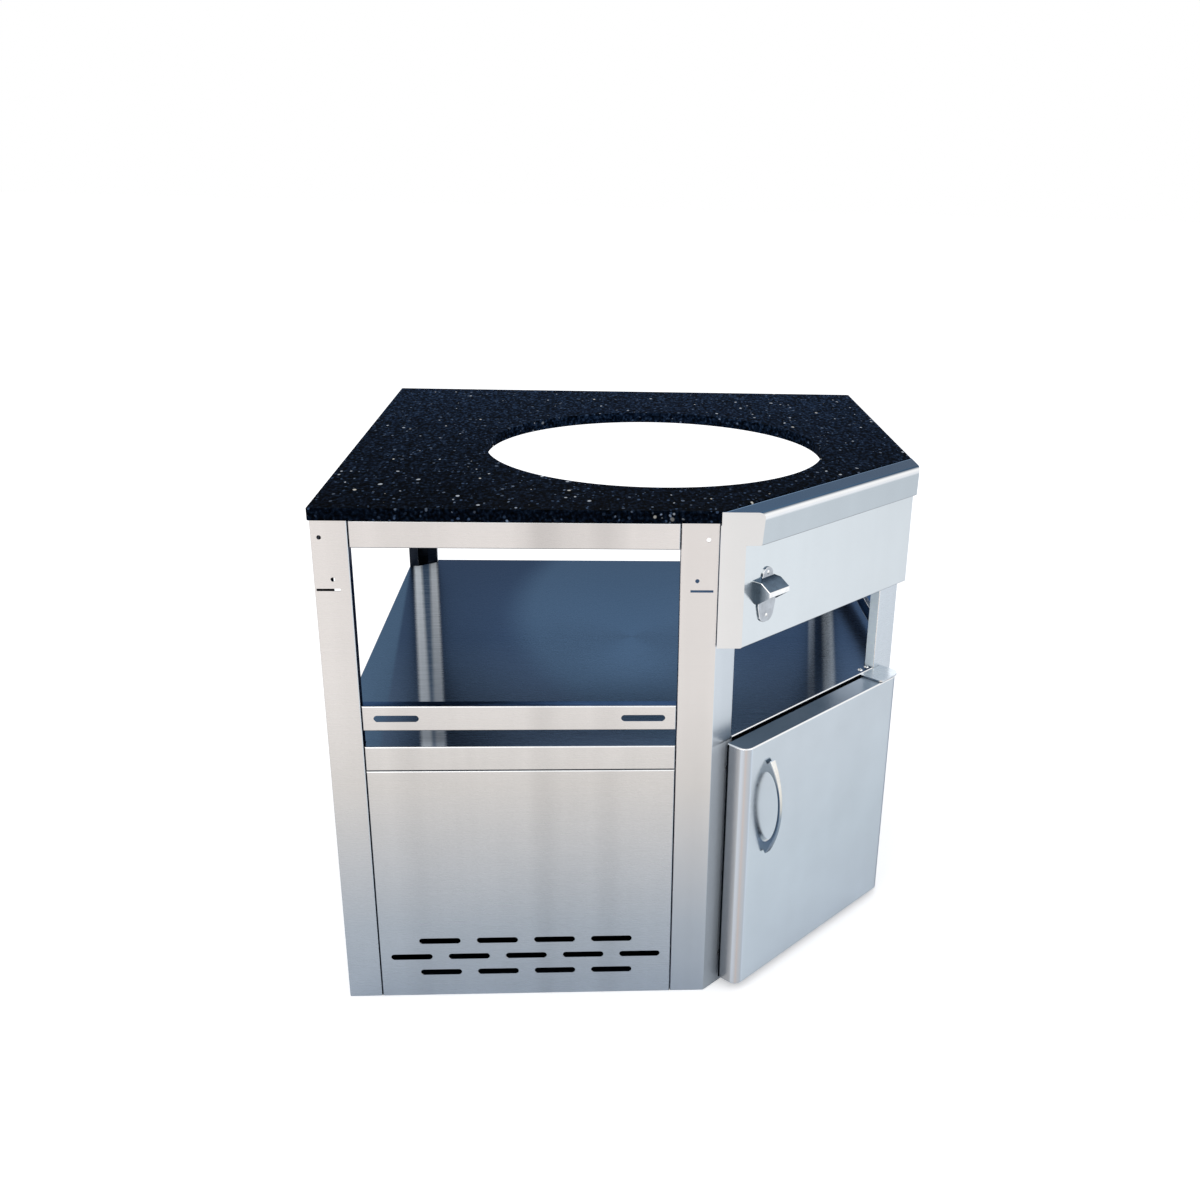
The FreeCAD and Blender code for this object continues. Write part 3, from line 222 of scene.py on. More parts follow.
# the cover: the nosing is painted darker than the fascia below it, and its closed ends as warm as the square sides,
# both painted reflections
cover = {
    "fascia": "#DEE5E9",
    "nosing": "#C5CED4",
    "nosingFoot": 0.845,                # height where the nosing begins, from the node
    "end": "#E0DEDC",
    # painted dark-blue reflection on what looks up
    "top": "#4C6176", "topTurn": (0.6, 0.93),
    "graniteEdge": 0.4509,              # distance from the axis of the table
    "foldLow": "#F6F8FA",               # a painted highlight: under the fold the nosing starts light
    "foldHigh": 0.890, "foldDepth": 0.004,
    "rim": "#86A3C0",                   # a painted highlight on its edge next to the granite
    "rimEnd": 0.0048, "rimBlur": 0.0004,        # and how far that reaches, from the edge of the granite
}


def makeCoverSteel():
    # by height: the fascia, the nosing painted darker, and a painted highlight under the fold
    foot, fold = cover["nosingFoot"] / tableHeight, cover["foldHigh"] / tableHeight
    stops = [(foot - 0.001, cover["fascia"]), (foot + 0.001, cover["nosing"]),
             (fold - cover["foldDepth"] / tableHeight, cover["nosing"]), (fold, cover["foldLow"])]
    made = makeSheetSteel("brushedSteelCover", diagonal=stops, upright=[(0.0, cover["end"]), (1.0, cover["end"])],
                          top=cover["top"], topTurn=cover["topTurn"], bandDepth=0.015, grainDepth=0.008,
                          roughness=0.16, anisotropy=0.2)
    material, tree, shader, place, colour = made
    # a painted highlight: the rim next to the granite is a light line
    out = addNode(tree, "VectorMath", {"operation": "DOT_PRODUCT", 1: doorOut},
                  {0: place.outputs["Object"]}).outputs["Value"]
    rise = addNode(tree, "SeparateXYZ", links={0: place.outputs["Normal"]}).outputs["Z"]
    level = addNode(tree, "MapRange", levelTurn, {0: rise}).outputs[0]
    back = cover["graniteEdge"] + cover["rimEnd"]
    rim = addNode(tree, "MapRange", {"From Min": back + cover["rimBlur"], "From Max": back - cover["rimBlur"]},
                  {0: out}).outputs[0]
    share = addNode(tree, "Math", {"operation": "MULTIPLY"}, {0: rim, 1: level}).outputs[0]
    colour = addNode(tree, "Mix", {"data_type": "RGBA", 7: hexToLinear(cover["rim"])},
                     {0: share, 6: colour}).outputs[2]
    return finishSteel(made, colour)


coverSteel = makeCoverSteel()


# the shelf: under the cut-out it is lighter, where light falls through the worktop, and at its left edge too.
# Two pale streaks on each side of it, where the sheet mirrors the posts behind.
shelf = {
    "byDepth": [(0.0, "#5A6C84"), (0.4, "#46566E"), (1.0, "#3F4D63")],      # painted reflection, dark blue, from the front edge to the back one
    "light": "#5A728B",
    "patchShare": 0.6, "leftShare": 0.8,
    "arc": (0.72, 0.177), "arcRadius": 0.977, "patchEnd": 0.16,     # the light patch from the arc to its right end
    "arcBlur": (0.03, 0.06), "endBlur": (0.1, 0.06),                # outwards and inwards
    "leftSlope": -0.084, "leftEdge": -0.466, "leftBlur": 0.006,
    "streaks": [                        # slope against the depth, middle, half width, strength at the back and
        (0.139, -0.4095, 0.012, 1.0, 0.9, "#4C6078", True),         # front, colour, and whether it is dull
        (0.146, -0.4249, 0.0085, 1.0, 0.5, "#E9F2FA", True),
        (0.132, -0.3948, 0.0082, 0.8, 0.3, "#E6EDF3", True),
        (-0.159, 0.371, 0.006, 0.5, 0.2, "#CFD9E2", False),
        (-0.159, 0.405, 0.010, 0.95, 0.6, "#CFD9E2", False),
    ],
    "streakBlur": (1.6, 0.5),           # in half widths
    "back": 0.5, "front": -0.35,
}


def makeShelfSteel():
    made = makeSheetSteel("brushedSteelShelf", bandDepth=0.06, across=(1, 0, 0))
    material, tree, shader, place, colour = made
    spot = addNode(tree, "SeparateXYZ", links={0: place.outputs["Object"]})
    rise = addNode(tree, "SeparateXYZ", links={0: place.outputs["Normal"]}).outputs["Z"]
    level = addNode(tree, "MapRange", {"From Min": 0.95, "From Max": 0.99}, {0: rise}).outputs[0]
    # painted reflection by depth on what looks up
    depth = addNode(tree, "MapRange", {"From Min": shelf["front"], "From Max": shelf["back"]},
                    {0: spot.outputs["Y"]}).outputs[0]
    plain = addNode(tree, "ValToRGB", {"stops": shelf["byDepth"]}, {0: depth}).outputs[0]
    colour = addNode(tree, "Mix", {"data_type": "RGBA"}, {0: level, 6: colour, 7: plain}).outputs[2]
    # painted light under the cut-out and along the left edge
    flat = addNode(tree, "CombineXYZ", links={"X": spot.outputs["X"], "Y": spot.outputs["Y"]}).outputs[0]
    far = addNode(tree, "VectorMath", {"operation": "DISTANCE", 1: (*shelf["arc"], 0)}, {0: flat}).outputs["Value"]
    patch, right = [
        addNode(tree, "MapRange", {"interpolation_type": "SMOOTHSTEP", "From Min": edge + blur[0],
                                   "From Max": edge - blur[1]}, {0: source}).outputs[0]
        for edge, blur, source in ((shelf["arcRadius"], shelf["arcBlur"], far),
                                   (shelf["patchEnd"], shelf["endBlur"], spot.outputs["X"]))]
    patch = addNode(tree, "Math", {"operation": "MULTIPLY"}, {0: patch, 1: right}).outputs[0]
    line = addNode(tree, "Math", {"operation": "MULTIPLY_ADD", 1: -shelf["leftSlope"]},
                   {0: spot.outputs["Y"], 2: spot.outputs["X"]}).outputs[0]
    edge = shelf["leftEdge"]
    left = addNode(tree, "MapRange", {"From Min": edge, "From Max": edge - shelf["leftBlur"]}, {0: line}).outputs[0]
    for share, most in ((patch, shelf["patchShare"]), (left, shelf["leftShare"])):
        share = addNode(tree, "Math", {"operation": "MULTIPLY", 1: most}, {0: share}).outputs[0]
        share = addNode(tree, "Math", {"operation": "MULTIPLY"}, {0: share, 1: level}).outputs[0]
        colour = addNode(tree, "Mix", {"data_type": "RGBA", 7: hexToLinear(shelf["light"])},
                         {0: share, 6: colour}).outputs[2]
    dull = None
    # painted reflections of the posts behind
    for slope, middle, half, back, front, code, isDull in shelf["streaks"]:
        line = addNode(tree, "Math", {"operation": "MULTIPLY_ADD", 1: slope},
                       {0: spot.outputs["Y"], 2: spot.outputs["X"]}).outputs[0]
        off = addNode(tree, "Math", {"operation": "SUBTRACT", 1: middle}, {0: line}).outputs[0]
        size = addNode(tree, "Math", {"operation": "ABSOLUTE"}, {0: off}).outputs[0]
        outer, inner = [half * part for part in shelf["streakBlur"]]
        inside = addNode(tree, "MapRange", {"interpolation_type": "SMOOTHSTEP", "From Min": outer,
                                            "From Max": inner}, {0: size}).outputs[0]
        fade = addNode(tree, "MapRange", {"From Min": shelf["back"], "From Max": shelf["front"], "To Min": back,
                                          "To Max": front}, {0: spot.outputs["Y"]}).outputs[0]
        inside = addNode(tree, "Math", {"operation": "MULTIPLY"}, {0: inside, 1: level}).outputs[0]
        share = addNode(tree, "Math", {"operation": "MULTIPLY"}, {0: inside, 1: fade}).outputs[0]
        colour = addNode(tree, "Mix", {"data_type": "RGBA", 7: hexToLinear(code)},
                         {0: share, 6: colour}).outputs[2]
        if isDull and dull:
            dull = addNode(tree, "Math", {"operation": "MAXIMUM"}, {0: inside, 1: dull}).outputs[0]
        elif isDull:
            dull = inside
    metal = addNode(tree, "MapRange", {"To Min": 1.0, "To Max": 0.0}, {0: dull}).outputs[0]
    tree.links.new(metal, shader.inputs["Metallic"])
    return finishSteel(made, colour)


shelfSteel = makeShelfSteel()


# the cupboard floor: light in the middle, and painted dark behind the vents as shade
cupboard = {
    "top": "#BFC7CF", "behindVents": "#10161E",
    "darkTo": -0.36, "lightFrom": -0.25,        # how far from the middle of the table, towards a vented side
    "metal": 0.4, "roughness": 0.35,
}


def makeFloorSteel():
    made = makeSheetSteel("brushedSteelFloor", top=cupboard["top"], metal=cupboard["metal"],
                          roughness=cupboard["roughness"])
    material, tree, shader, place, colour = made
    spot = addNode(tree, "SeparateXYZ", links={0: place.outputs["Object"]})
    # painted shade behind the vents
    right = addNode(tree, "Math", {"operation": "MULTIPLY", 1: -1.0}, {0: spot.outputs["X"]}).outputs[0]
    nearest = addNode(tree, "Math", {"operation": "MINIMUM"}, {0: spot.outputs["Y"], 1: right}).outputs[0]
    dark = addNode(tree, "MapRange", {"From Min": cupboard["lightFrom"], "From Max": cupboard["darkTo"]},
                   {0: nearest}).outputs[0]
    rise = addNode(tree, "SeparateXYZ", links={0: place.outputs["Normal"]}).outputs["Z"]
    level = addNode(tree, "MapRange", levelTurn, {0: rise}).outputs[0]
    dark = addNode(tree, "Math", {"operation": "MULTIPLY"}, {0: dark, 1: level}).outputs[0]
    colour = addNode(tree, "Mix", {"data_type": "RGBA", 7: hexToLinear(cupboard["behindVents"])},
                     {0: dark, 6: colour}).outputs[2]
    return finishSteel(made, colour)


floorSteel = makeFloorSteel()


# the door: a deep pan whose big upright bend gathers the light in bands
door = {
    "height": [(0.0, "#CAD4DD"), (0.25, "#CBD6DE"), (0.5, "#CDD6DD")],
    # painted reflection bands across the bend
    "bend": [(0.0, "#8C97A4"), (0.44, "#C2CDD6"), (0.5, "#CCD6DE"), (0.56, "#CED8E2"), (0.62, "#B6BEC8"),
             (0.69, "#B9BDC3"), (0.765, "#BCBEC2"), (0.865, "#C6BEBB"), (0.91, "#C3C5C9"), (0.945, "#C9CED6"),
             (0.985, "#CDD3DA"), (0.998, "#AEAFB2")],      # from the right side to the left, front in the middle
    # painted reflection on what looks up, lighter towards its right end
    "top": "#5A6E82", "topEnd": "#A9BBCD", "topMetal": 0.2,
    "gap": "#11161D",                   # painted shade: the sides are dark next to the posts
    "gapEnd": 0.456, "gapBlur": 0.0015,         # distance from the axis of the table
}


def makeDoorSteel():
    made = makeSheetSteel("brushedSteelDoor", diagonal=door["height"], upright=door["height"], top=door["top"],
                          topEnd=door["topEnd"], inner="#B3BFCA", bandDepth=0.012, grainDepth=0.012, roughness=0.19,
                          anisotropy=0.2, cloudDepth=0.025)
    material, tree, shader, place, colour = made
    # the bend is painted with bands of reflected light
    sideways = addNode(tree, "VectorMath", {"operation": "DOT_PRODUCT", 1: doorLeft},
                       {0: place.outputs["Normal"]}).outputs["Value"]
    half = addNode(tree, "MapRange", {"From Min": -1.0, "From Max": 1.0}, {0: sideways}).outputs[0]
    bend = addNode(tree, "ValToRGB", {"stops": door["bend"]}, {0: half}).outputs[0]
    size = addNode(tree, "Math", {"operation": "ABSOLUTE"}, {0: sideways}).outputs[0]
    rise = addNode(tree, "SeparateXYZ", links={0: place.outputs["Normal"]}).outputs["Z"]
    steep = addNode(tree, "Math", {"operation": "ABSOLUTE"}, {0: rise}).outputs[0]
    share = addNode(tree, "MapRange", {"From Min": 0.02, "From Max": 0.08}, {0: size}).outputs[0]
    plain = addNode(tree, "MapRange", {"From Min": 0.3, "From Max": 0.1}, {0: steep}).outputs[0]
    share = addNode(tree, "Math", {"operation": "MULTIPLY"}, {0: share, 1: plain}).outputs[0]
    colour = addNode(tree, "Mix", {"data_type": "RGBA"}, {0: share, 6: colour, 7: bend}).outputs[2]
    # painted shade on the sides next to the posts
    out = addNode(tree, "VectorMath", {"operation": "DOT_PRODUCT", 1: doorOut},
                  {0: place.outputs["Object"]}).outputs["Value"]
    dark = addNode(tree, "MapRange", {"From Min": door["gapEnd"] + door["gapBlur"], "From Max": door["gapEnd"]},
                   {0: out}).outputs[0]
    side = addNode(tree, "MapRange", {"From Min": 0.8, "From Max": 0.95}, {0: size}).outputs[0]
    dark = addNode(tree, "Math", {"operation": "MULTIPLY"}, {0: dark, 1: side}).outputs[0]
    colour = addNode(tree, "Mix", {"data_type": "RGBA", 7: hexToLinear(door["gap"])},
                     {0: dark, 6: colour}).outputs[2]
    start, end = sheetSteel["topTurn"]
    metal = addNode(tree, "MapRange", {"From Min": start, "From Max": end, "To Min": 1.0, "To Max": door["topMetal"]},
                    {0: rise}).outputs[0]
    tree.links.new(metal, shader.inputs["Metallic"])
    return finishSteel(made, colour)


doorSteel = makeDoorSteel()


# Black granite, sawn and polished: nearly black, with a fine bluish grain and flecks of pale feldspar and mica.
# The body gives no mirror image of its own, so that the stone stays black at a low angle, and a thin coat is the
# polish.
granite = {
    "body": [(0.36, "#02050B"), (0.5, "#0B1626"), (0.62, "#1C2C44"), (0.78, "#3C4E68")],
    "bodyGrain": 0.0055,
    "near": -0.5, "far": 0.5, "nearShade": 0.3, "farShade": 1.15,       # painted reflection: darker towards the viewer's side, lighter towards the back
    "flecks": [                         # distance between cells, share that holds a fleck, size in the cell, colour;
        (0.008, 0.34, 0.36, "#3C4E69"),  # drawn up to 9 mm long, the real ones are 2 to 6 mm
        (0.012, 0.34, 0.28, "#7B8BA3"),
        (0.019, 0.26, 0.20, "#C6CFDA"),
        (0.032, 0.36, 0.125, "#FFFDF4"),
    ],
    "long": (1.0, 0.6, 1.0),
    "bent": 0.6,                        # how far a fleck's outline strays, in cells
    "smallest": 0.45, "dullest": 0.15,  # against the largest and brightest of its kind
    "edge": 0.3,
    "coat": 0.012, "coatRoughness": 0.12,
}


def makeGranite():
    material, tree, shader, place = newMaterial("polishedBlackGranite")
    where = place.outputs["Object"]
    # painted reflection: the stone darker towards the front and lighter towards the back
    depth = addNode(tree, "SeparateXYZ", links={0: where}).outputs["Y"]
    shade = addNode(tree, "MapRange", {"From Min": granite["near"], "From Max": granite["far"],
                                       "To Min": granite["nearShade"], "To Max": granite["farShade"]}, {0: depth})
    where = addNode(tree, "Mapping", {"Scale": granite["long"]}, {"Vector": where}).outputs[0]
    cloud = addNode(tree, "TexNoise", {"Scale": 1 / granite["bodyGrain"], "Detail": 3.0},
                    {"Vector": where}).outputs[0]
    colour = addNode(tree, "ValToRGB", {"stops": granite["body"]}, {0: cloud}).outputs[0]
    colour = addNode(tree, "Mix", {"data_type": "RGBA", "blend_type": "MULTIPLY", 0: 1.0},
                     {6: colour, 7: shade.outputs[0]}).outputs[2]
    for cell, share, size, code in granite["flecks"]:
        bent = addNode(tree, "TexNoise", {"Scale": 0.8 / cell, "Detail": 1.0}, {"Vector": where}).outputs[1]
        moved = addNode(tree, "VectorMath", {"operation": "MULTIPLY_ADD", 1: (granite["bent"] * cell,) * 3},
                        {0: bent, 2: where})
        cells = addNode(tree, "TexVoronoi", {"Scale": 1 / cell}, {"Vector": moved.outputs[0]})
        chance = addNode(tree, "SeparateColor", links={0: cells.outputs["Color"]})
        chosen = addNode(tree, "Math", {"operation": "GREATER_THAN", 1: 1 - share},
                         {0: chance.outputs[0]}).outputs[0]
        grown = addNode(tree, "MapRange", {"To Min": granite["smallest"] * size, "To Max": size},
                        {0: chance.outputs[1]}).outputs[0]
        inner = addNode(tree, "Math", {"operation": "SUBTRACT"},
                        {0: grown, 1: cells.outputs["Distance"]}).outputs[0]
        inside = addNode(tree, "MapRange", {"From Min": 0.0, "From Max": granite["edge"] * size},
                         {0: inner}).outputs[0]
        bright = addNode(tree, "MapRange", {"To Min": granite["dullest"], "To Max": 1.0},
                         {0: chance.outputs[2]}).outputs[0]
        spot = addNode(tree, "Math", {"operation": "MULTIPLY"}, {0: chosen, 1: inside}).outputs[0]
        spot = addNode(tree, "Math", {"operation": "MULTIPLY"}, {0: spot, 1: bright}).outputs[0]
        colour = addNode(tree, "Mix", {"data_type": "RGBA", 7: hexToLinear(code)},
                         {0: spot, 6: colour}).outputs[2]
    tree.links.new(colour, shader.inputs["Base Color"])
    shader.inputs["Roughness"].default_value = 0.5
    shader.inputs["Specular IOR Level"].default_value = 0.0
    shader.inputs["Coat Weight"].default_value = granite["coat"]
    shader.inputs["Coat Roughness"].default_value = granite["coatRoughness"]
    return material


graniteStone = makeGranite()


# Cast 304 stainless steel, tumbled and polished: smooth, with the faint orange peel of its mould
castSteel = {
    # painted reflections by the way a face looks: blue-grey underneath, warm on the sides, a painted highlight on the
    # shoulder, dark blue on top
    "side": "#D8D6D0", "shoulder": "#F6F6F4", "top": "#5B6E84", "under": "#8092A6",
    "roughness": 0.16,
    "peel": 0.0022,                     # size of the peel, from a shell mould
}


def makeCastSteel(name, **changes):
    facts = {**castSteel, **changes}
    material, tree, shader, place = newMaterial(name)
    rise = addNode(tree, "SeparateXYZ", links={0: place.outputs["Normal"]}).outputs["Z"]
    half = addNode(tree, "MapRange", {"From Min": -1.0, "From Max": 1.0}, {0: rise}).outputs[0]
    # painted reflections by the rise of the normal
    stops = [(0.1, facts["under"]), (0.45, facts["side"]), (0.78, facts["shoulder"]), (0.93, facts["top"])]
    colour = addNode(tree, "ValToRGB", {"stops": stops}, {0: half}).outputs[0]
    peel = addNode(tree, "TexNoise", {"Scale": 1 / facts["peel"], "Detail": 2.0},
                   {"Vector": place.outputs["Object"]})
    shade = addNode(tree, "MapRange", {**noiseSpan, "To Min": 0.95, "To Max": 1.05},
                    {0: peel.outputs[0]}).outputs[0]
    colour = addNode(tree, "Mix", {"data_type": "RGBA", "blend_type": "MULTIPLY", 0: 1.0}, {6: colour, 7: shade})
    bump = addNode(tree, "Bump", {"Strength": 0.12, "Distance": 0.0003}, {"Height": peel.outputs[0]})
    rough = addNode(tree, "MapRange", {**noiseSpan, "To Min": facts["roughness"] - 0.03,
                                       "To Max": facts["roughness"] + 0.04}, {0: peel.outputs[0]})
    tree.links.new(colour.outputs[2], shader.inputs["Base Color"])
    tree.links.new(bump.outputs[0], shader.inputs["Normal"])
    tree.links.new(rough.outputs[0], shader.inputs["Roughness"])
    shader.inputs["Metallic"].default_value = 1.0
    return material


# the opener's faces: roof, rim, plate, flanks, mouth, and the bright rounded edges between them, all painted with
# light and shade by the way they face: a painted highlight on the edges and the rim, painted shade on the roof, the
# left flank and what looks down
opener = {
    "edge": "#FFFFFF", "out": "#B4BAC1", "roof": "#5E7082", "left": "#4E5963", "right": "#8A949F",
    "under": "#3A4654", "rim": "#F8FAFB",
    "rimOut": 0.488,                    # the rim lies further from the axis of the table than this
    "leftEnd": "#B9C0C8",               # painted light: the left flank turns light towards its rim
    "leftFrom": 0.482, "leftTo": 0.508,
    "cloudScale": 90.0, "cloudDepth": 0.12, "peelDepth": 0.06,
    "roughness": 0.22,
}


def makeOpenerSteel():
    material, tree, shader, place = newMaterial("tumbledCastSteel")
    turn = place.outputs["Normal"]
    rise = addNode(tree, "SeparateXYZ", links={0: turn}).outputs["Z"]
    out, right = [addNode(tree, "VectorMath", {"operation": "DOT_PRODUCT", 1: way}, {0: turn}).outputs["Value"]
                  for way in (doorOut, doorRight)]
    far = addNode(tree, "VectorMath", {"operation": "DOT_PRODUCT", 1: doorOut},
                  {0: place.outputs["Object"]}).outputs["Value"]
    front = addNode(tree, "Math", {"operation": "GREATER_THAN", 1: opener["rimOut"]}, {0: far}).outputs[0]
    front = addNode(tree, "Mix", {"data_type": "RGBA", 6: hexToLinear(opener["out"]), 7: hexToLinear(opener["rim"])},
                    {0: front}).outputs[2]
    reach = addNode(tree, "MapRange", {"From Min": opener["leftFrom"], "From Max": opener["leftTo"]},
                    {0: far}).outputs[0]
    flank = addNode(tree, "ValToRGB", {"stops": [(0.2, opener["left"]), (1.0, opener["leftEnd"])]},
                    {0: reach}).outputs[0]
    colour = None
    # painted light and shade by the way each face looks
    for source, low, high, name in ((out, 0.93, 0.98, front), (right, -0.9, -0.97, flank), (right, 0.9, 0.97, "right"),
                                    (rise, 0.74, 0.8, "roof"), (rise, -0.3, -0.5, "under")):
        step = addNode(tree, "MapRange", {"From Min": low, "From Max": high}, {0: source}).outputs[0]
        mix = addNode(tree, "Mix", {"data_type": "RGBA", 6: hexToLinear(opener["edge"])}, {0: step})
        if name in opener:
            mix.inputs[7].default_value = hexToLinear(opener[name])
        else:
            tree.links.new(name, mix.inputs[7])
        if colour:
            tree.links.new(colour, mix.inputs[6])
        colour = mix.outputs[2]
    cloud = addNode(tree, "TexNoise", {"Scale": opener["cloudScale"], "Detail": 2.0},
                    {"Vector": place.outputs["Object"]}).outputs[0]
    peel = addNode(tree, "TexNoise", {"Scale": 1 / castSteel["peel"], "Detail": 2.0},
                   {"Vector": place.outputs["Object"]})
    for pattern, depth in ((cloud, opener["cloudDepth"]), (peel.outputs[0], opener["peelDepth"])):
        shade = addNode(tree, "MapRange", {**noiseSpan, "To Min": 1 - depth, "To Max": 1 + depth},
                        {0: pattern}).outputs[0]
        colour = addNode(tree, "Mix", {"data_type": "RGBA", "blend_type": "MULTIPLY", 0: 1.0},
                         {6: colour, 7: shade}).outputs[2]
    bump = addNode(tree, "Bump", {"Strength": 0.15, "Distance": 0.0003}, {"Height": peel.outputs[0]})
    tree.links.new(colour, shader.inputs["Base Color"])
    tree.links.new(bump.outputs[0], shader.inputs["Normal"])
    shader.inputs["Metallic"].default_value = 1.0
    shader.inputs["Roughness"].default_value = opener["roughness"]
    return material


openerSteel = makeOpenerSteel()


# the handle's bow by height, from its lower end to its tip: the face away from the door mirrors the sky above and
# the ground below, the narrow side faces mirror the door
handle = {
    "foot": 0.266, "tip": 0.45,         # heights of its ends, from the node
    "outer": [(0.0, "#5B6F84"), (0.25, "#6A7E92"), (0.42, "#8595A4"), (0.52, "#C9CAC6"), (0.68, "#E4E1D9"),
              (1.0, "#F6F5F1")],
    "side": [(0.0, "#7E8C9A"), (0.12, "#76869A"), (0.3, "#4C5E72"), (0.7, "#4C5F75"), (0.82, "#9AA3AB"),
             (1.0, "#C3C8CC")],
    # painted highlight on what looks up
    "up": [(0.0, "#FFFFFF"), (0.7, "#FFFFFF"), (0.9, "#D3E2F0")],
    # painted dark as shade: the right side, the face towards the door and what looks down
    "right": "#3F5569", "inner": "#22303F", "under": "#55687C",
    "upMetal": 0.3,                     # metallic share of what looks up
    "roughness": 0.2,
}


def makeHandleSteel():
    material, tree, shader, place = newMaterial("polishedCastSteel")
    height = addNode(tree, "SeparateXYZ", links={0: place.outputs["Object"]}).outputs["Z"]
    height = addNode(tree, "MapRange", {"From Min": handle["foot"], "From Max": handle["tip"]},
                     {0: height}).outputs[0]
    byHeight = {name: addNode(tree, "ValToRGB", {"stops": handle[name]}, {0: height}).outputs[0]
                for name in ("side", "outer", "up")}
    turn = place.outputs["Normal"]
    rise = addNode(tree, "SeparateXYZ", links={0: turn}).outputs["Z"]
    out, right = [addNode(tree, "VectorMath", {"operation": "DOT_PRODUCT", 1: way}, {0: turn}).outputs["Value"]
                  for way in (doorOut, doorRight)]
    colour = byHeight["side"]
    # painted light and shade by the way each face looks
    for source, low, high, name in ((out, 0.7, 0.9, "outer"), (right, 0.3, 0.5, "right"), (out, -0.3, -0.7, "inner"),
                                    (rise, 0.55, 0.8, "up"), (rise, -0.55, -0.8, "under")):
        step = addNode(tree, "MapRange", {"From Min": low, "From Max": high}, {0: source}).outputs[0]
        mix = addNode(tree, "Mix", {"data_type": "RGBA"}, {0: step, 6: colour})
        if name in byHeight:
            tree.links.new(byHeight[name], mix.inputs[7])
        else:
            mix.inputs[7].default_value = hexToLinear(handle[name])
        if name == "up":
            metal = addNode(tree, "MapRange", {"To Min": 1.0, "To Max": handle["upMetal"]}, {0: step}).outputs[0]
        colour = mix.outputs[2]
    peel = addNode(tree, "TexNoise", {"Scale": 1 / castSteel["peel"], "Detail": 2.0},
                   {"Vector": place.outputs["Object"]})
    shade = addNode(tree, "MapRange", {**noiseSpan, "To Min": 0.93, "To Max": 1.07},
                    {0: peel.outputs[0]}).outputs[0]
    colour = addNode(tree, "Mix", {"data_type": "RGBA", "blend_type": "MULTIPLY", 0: 1.0}, {6: colour, 7: shade})
    bump = addNode(tree, "Bump", {"Strength": 0.1, "Distance": 0.0003}, {"Height": peel.outputs[0]})
    tree.links.new(colour.outputs[2], shader.inputs["Base Color"])
    tree.links.new(bump.outputs[0], shader.inputs["Normal"])
    tree.links.new(metal, shader.inputs["Metallic"])
    shader.inputs["Roughness"].default_value = handle["roughness"]
    return material


handleSteel = makeHandleSteel()
# bolts, rivets and screws with the cast steel's painted reflections, lighter on top
boltSteel = makeCastSteel("brightTurnedSteel", side="#DCDDDE", top="#E4E6E8", under="#7F8A97")


# Moulded polymers: the spark-eroded mould leaves a fine texture that softens the gloss
moulded = {                             # colour, roughness and size of the texture
    "naturalNylon": ("#DCD8CC", 0.45, 0.0011),
    "blackAcetal": ("#232426", 0.5, 0.0008),
    "blackNitrileRubber": ("#151515", 0.75, 0.0014),
}


def makeMoulded(name):
    code, roughness, texture = moulded[name]
    material, tree, shader, place = newMaterial(name)
    pattern = addNode(tree, "TexNoise", {"Scale": 1 / texture, "Detail": 3.0}, {"Vector": place.outputs["Object"]})
    shade = addNode(tree, "MapRange", {**noiseSpan, "To Min": 0.9, "To Max": 1.1},
                    {0: pattern.outputs[0]}).outputs[0]
    colour = addNode(tree, "Mix", {"data_type": "RGBA", "blend_type": "MULTIPLY", 0: 1.0, 6: hexToLinear(code)},
                     {7: shade})
    bump = addNode(tree, "Bump", {"Strength": 0.2, "Distance": 0.0002}, {"Height": pattern.outputs[0]})
    tree.links.new(colour.outputs[2], shader.inputs["Base Color"])
    tree.links.new(bump.outputs[0], shader.inputs["Normal"])
    shader.inputs["Roughness"].default_value = roughness
    return material


nylon, catchPlastic, bumperRubber = [makeMoulded(name) for name in moulded]
print("materials made")


finishes = {
    "worktop": graniteStone,
    "shelf": shelfSteel,
    "fascia_cover": coverSteel,
    "post_front_left": frontPostSteel, "post_door_handle_side": handlePostSteel,
    "post_door_hinge_side": hingePostSteel, "post_back_left": backPostSteel, "post_back_right": backPostSteel,
    "top_rail_front": railSteel, "slotted_rail_front": frontSteel, "vent_panel_front": frontSteel,
    "top_rail_back": frontSteel, "back_panel": frontSteel,
    "top_rail_right": rightSteel, "slotted_rail_right": rightSteel, "vent_panel_right": rightSteel,
    "top_rail_left": rightSteel, "left_panel": rightSteel,
    "cupboard_floor": floorSteel,
    "door_skin": doorSteel, "door_liner": doorSteel,
    "hinge_plate_upper": plateSteel, "hinge_plate_lower": plateSteel,
    "bottle_opener": openerSteel, "door_handle": handleSteel,
    "hinge_bush_upper": nylon, "hinge_bush_lower": nylon,
    "magnetic_catch": catchPlastic, "door_bumpers": bumperRubber,
}
turned = ("rivets", "screws", "bolts", "nuts", "pin_", "strike")
for name, piece in nodes.items():
    finish = finishes.get(name)
    if finish is None:
        finish = boltSteel if any(word in name for word in turned) else frameSteel
    if len(piece.data.materials) == 0:
        piece.data.materials.append(finish)
    for i in range(len(piece.data.materials)):
        piece.data.materials[i] = finish
print("materials on all pieces")


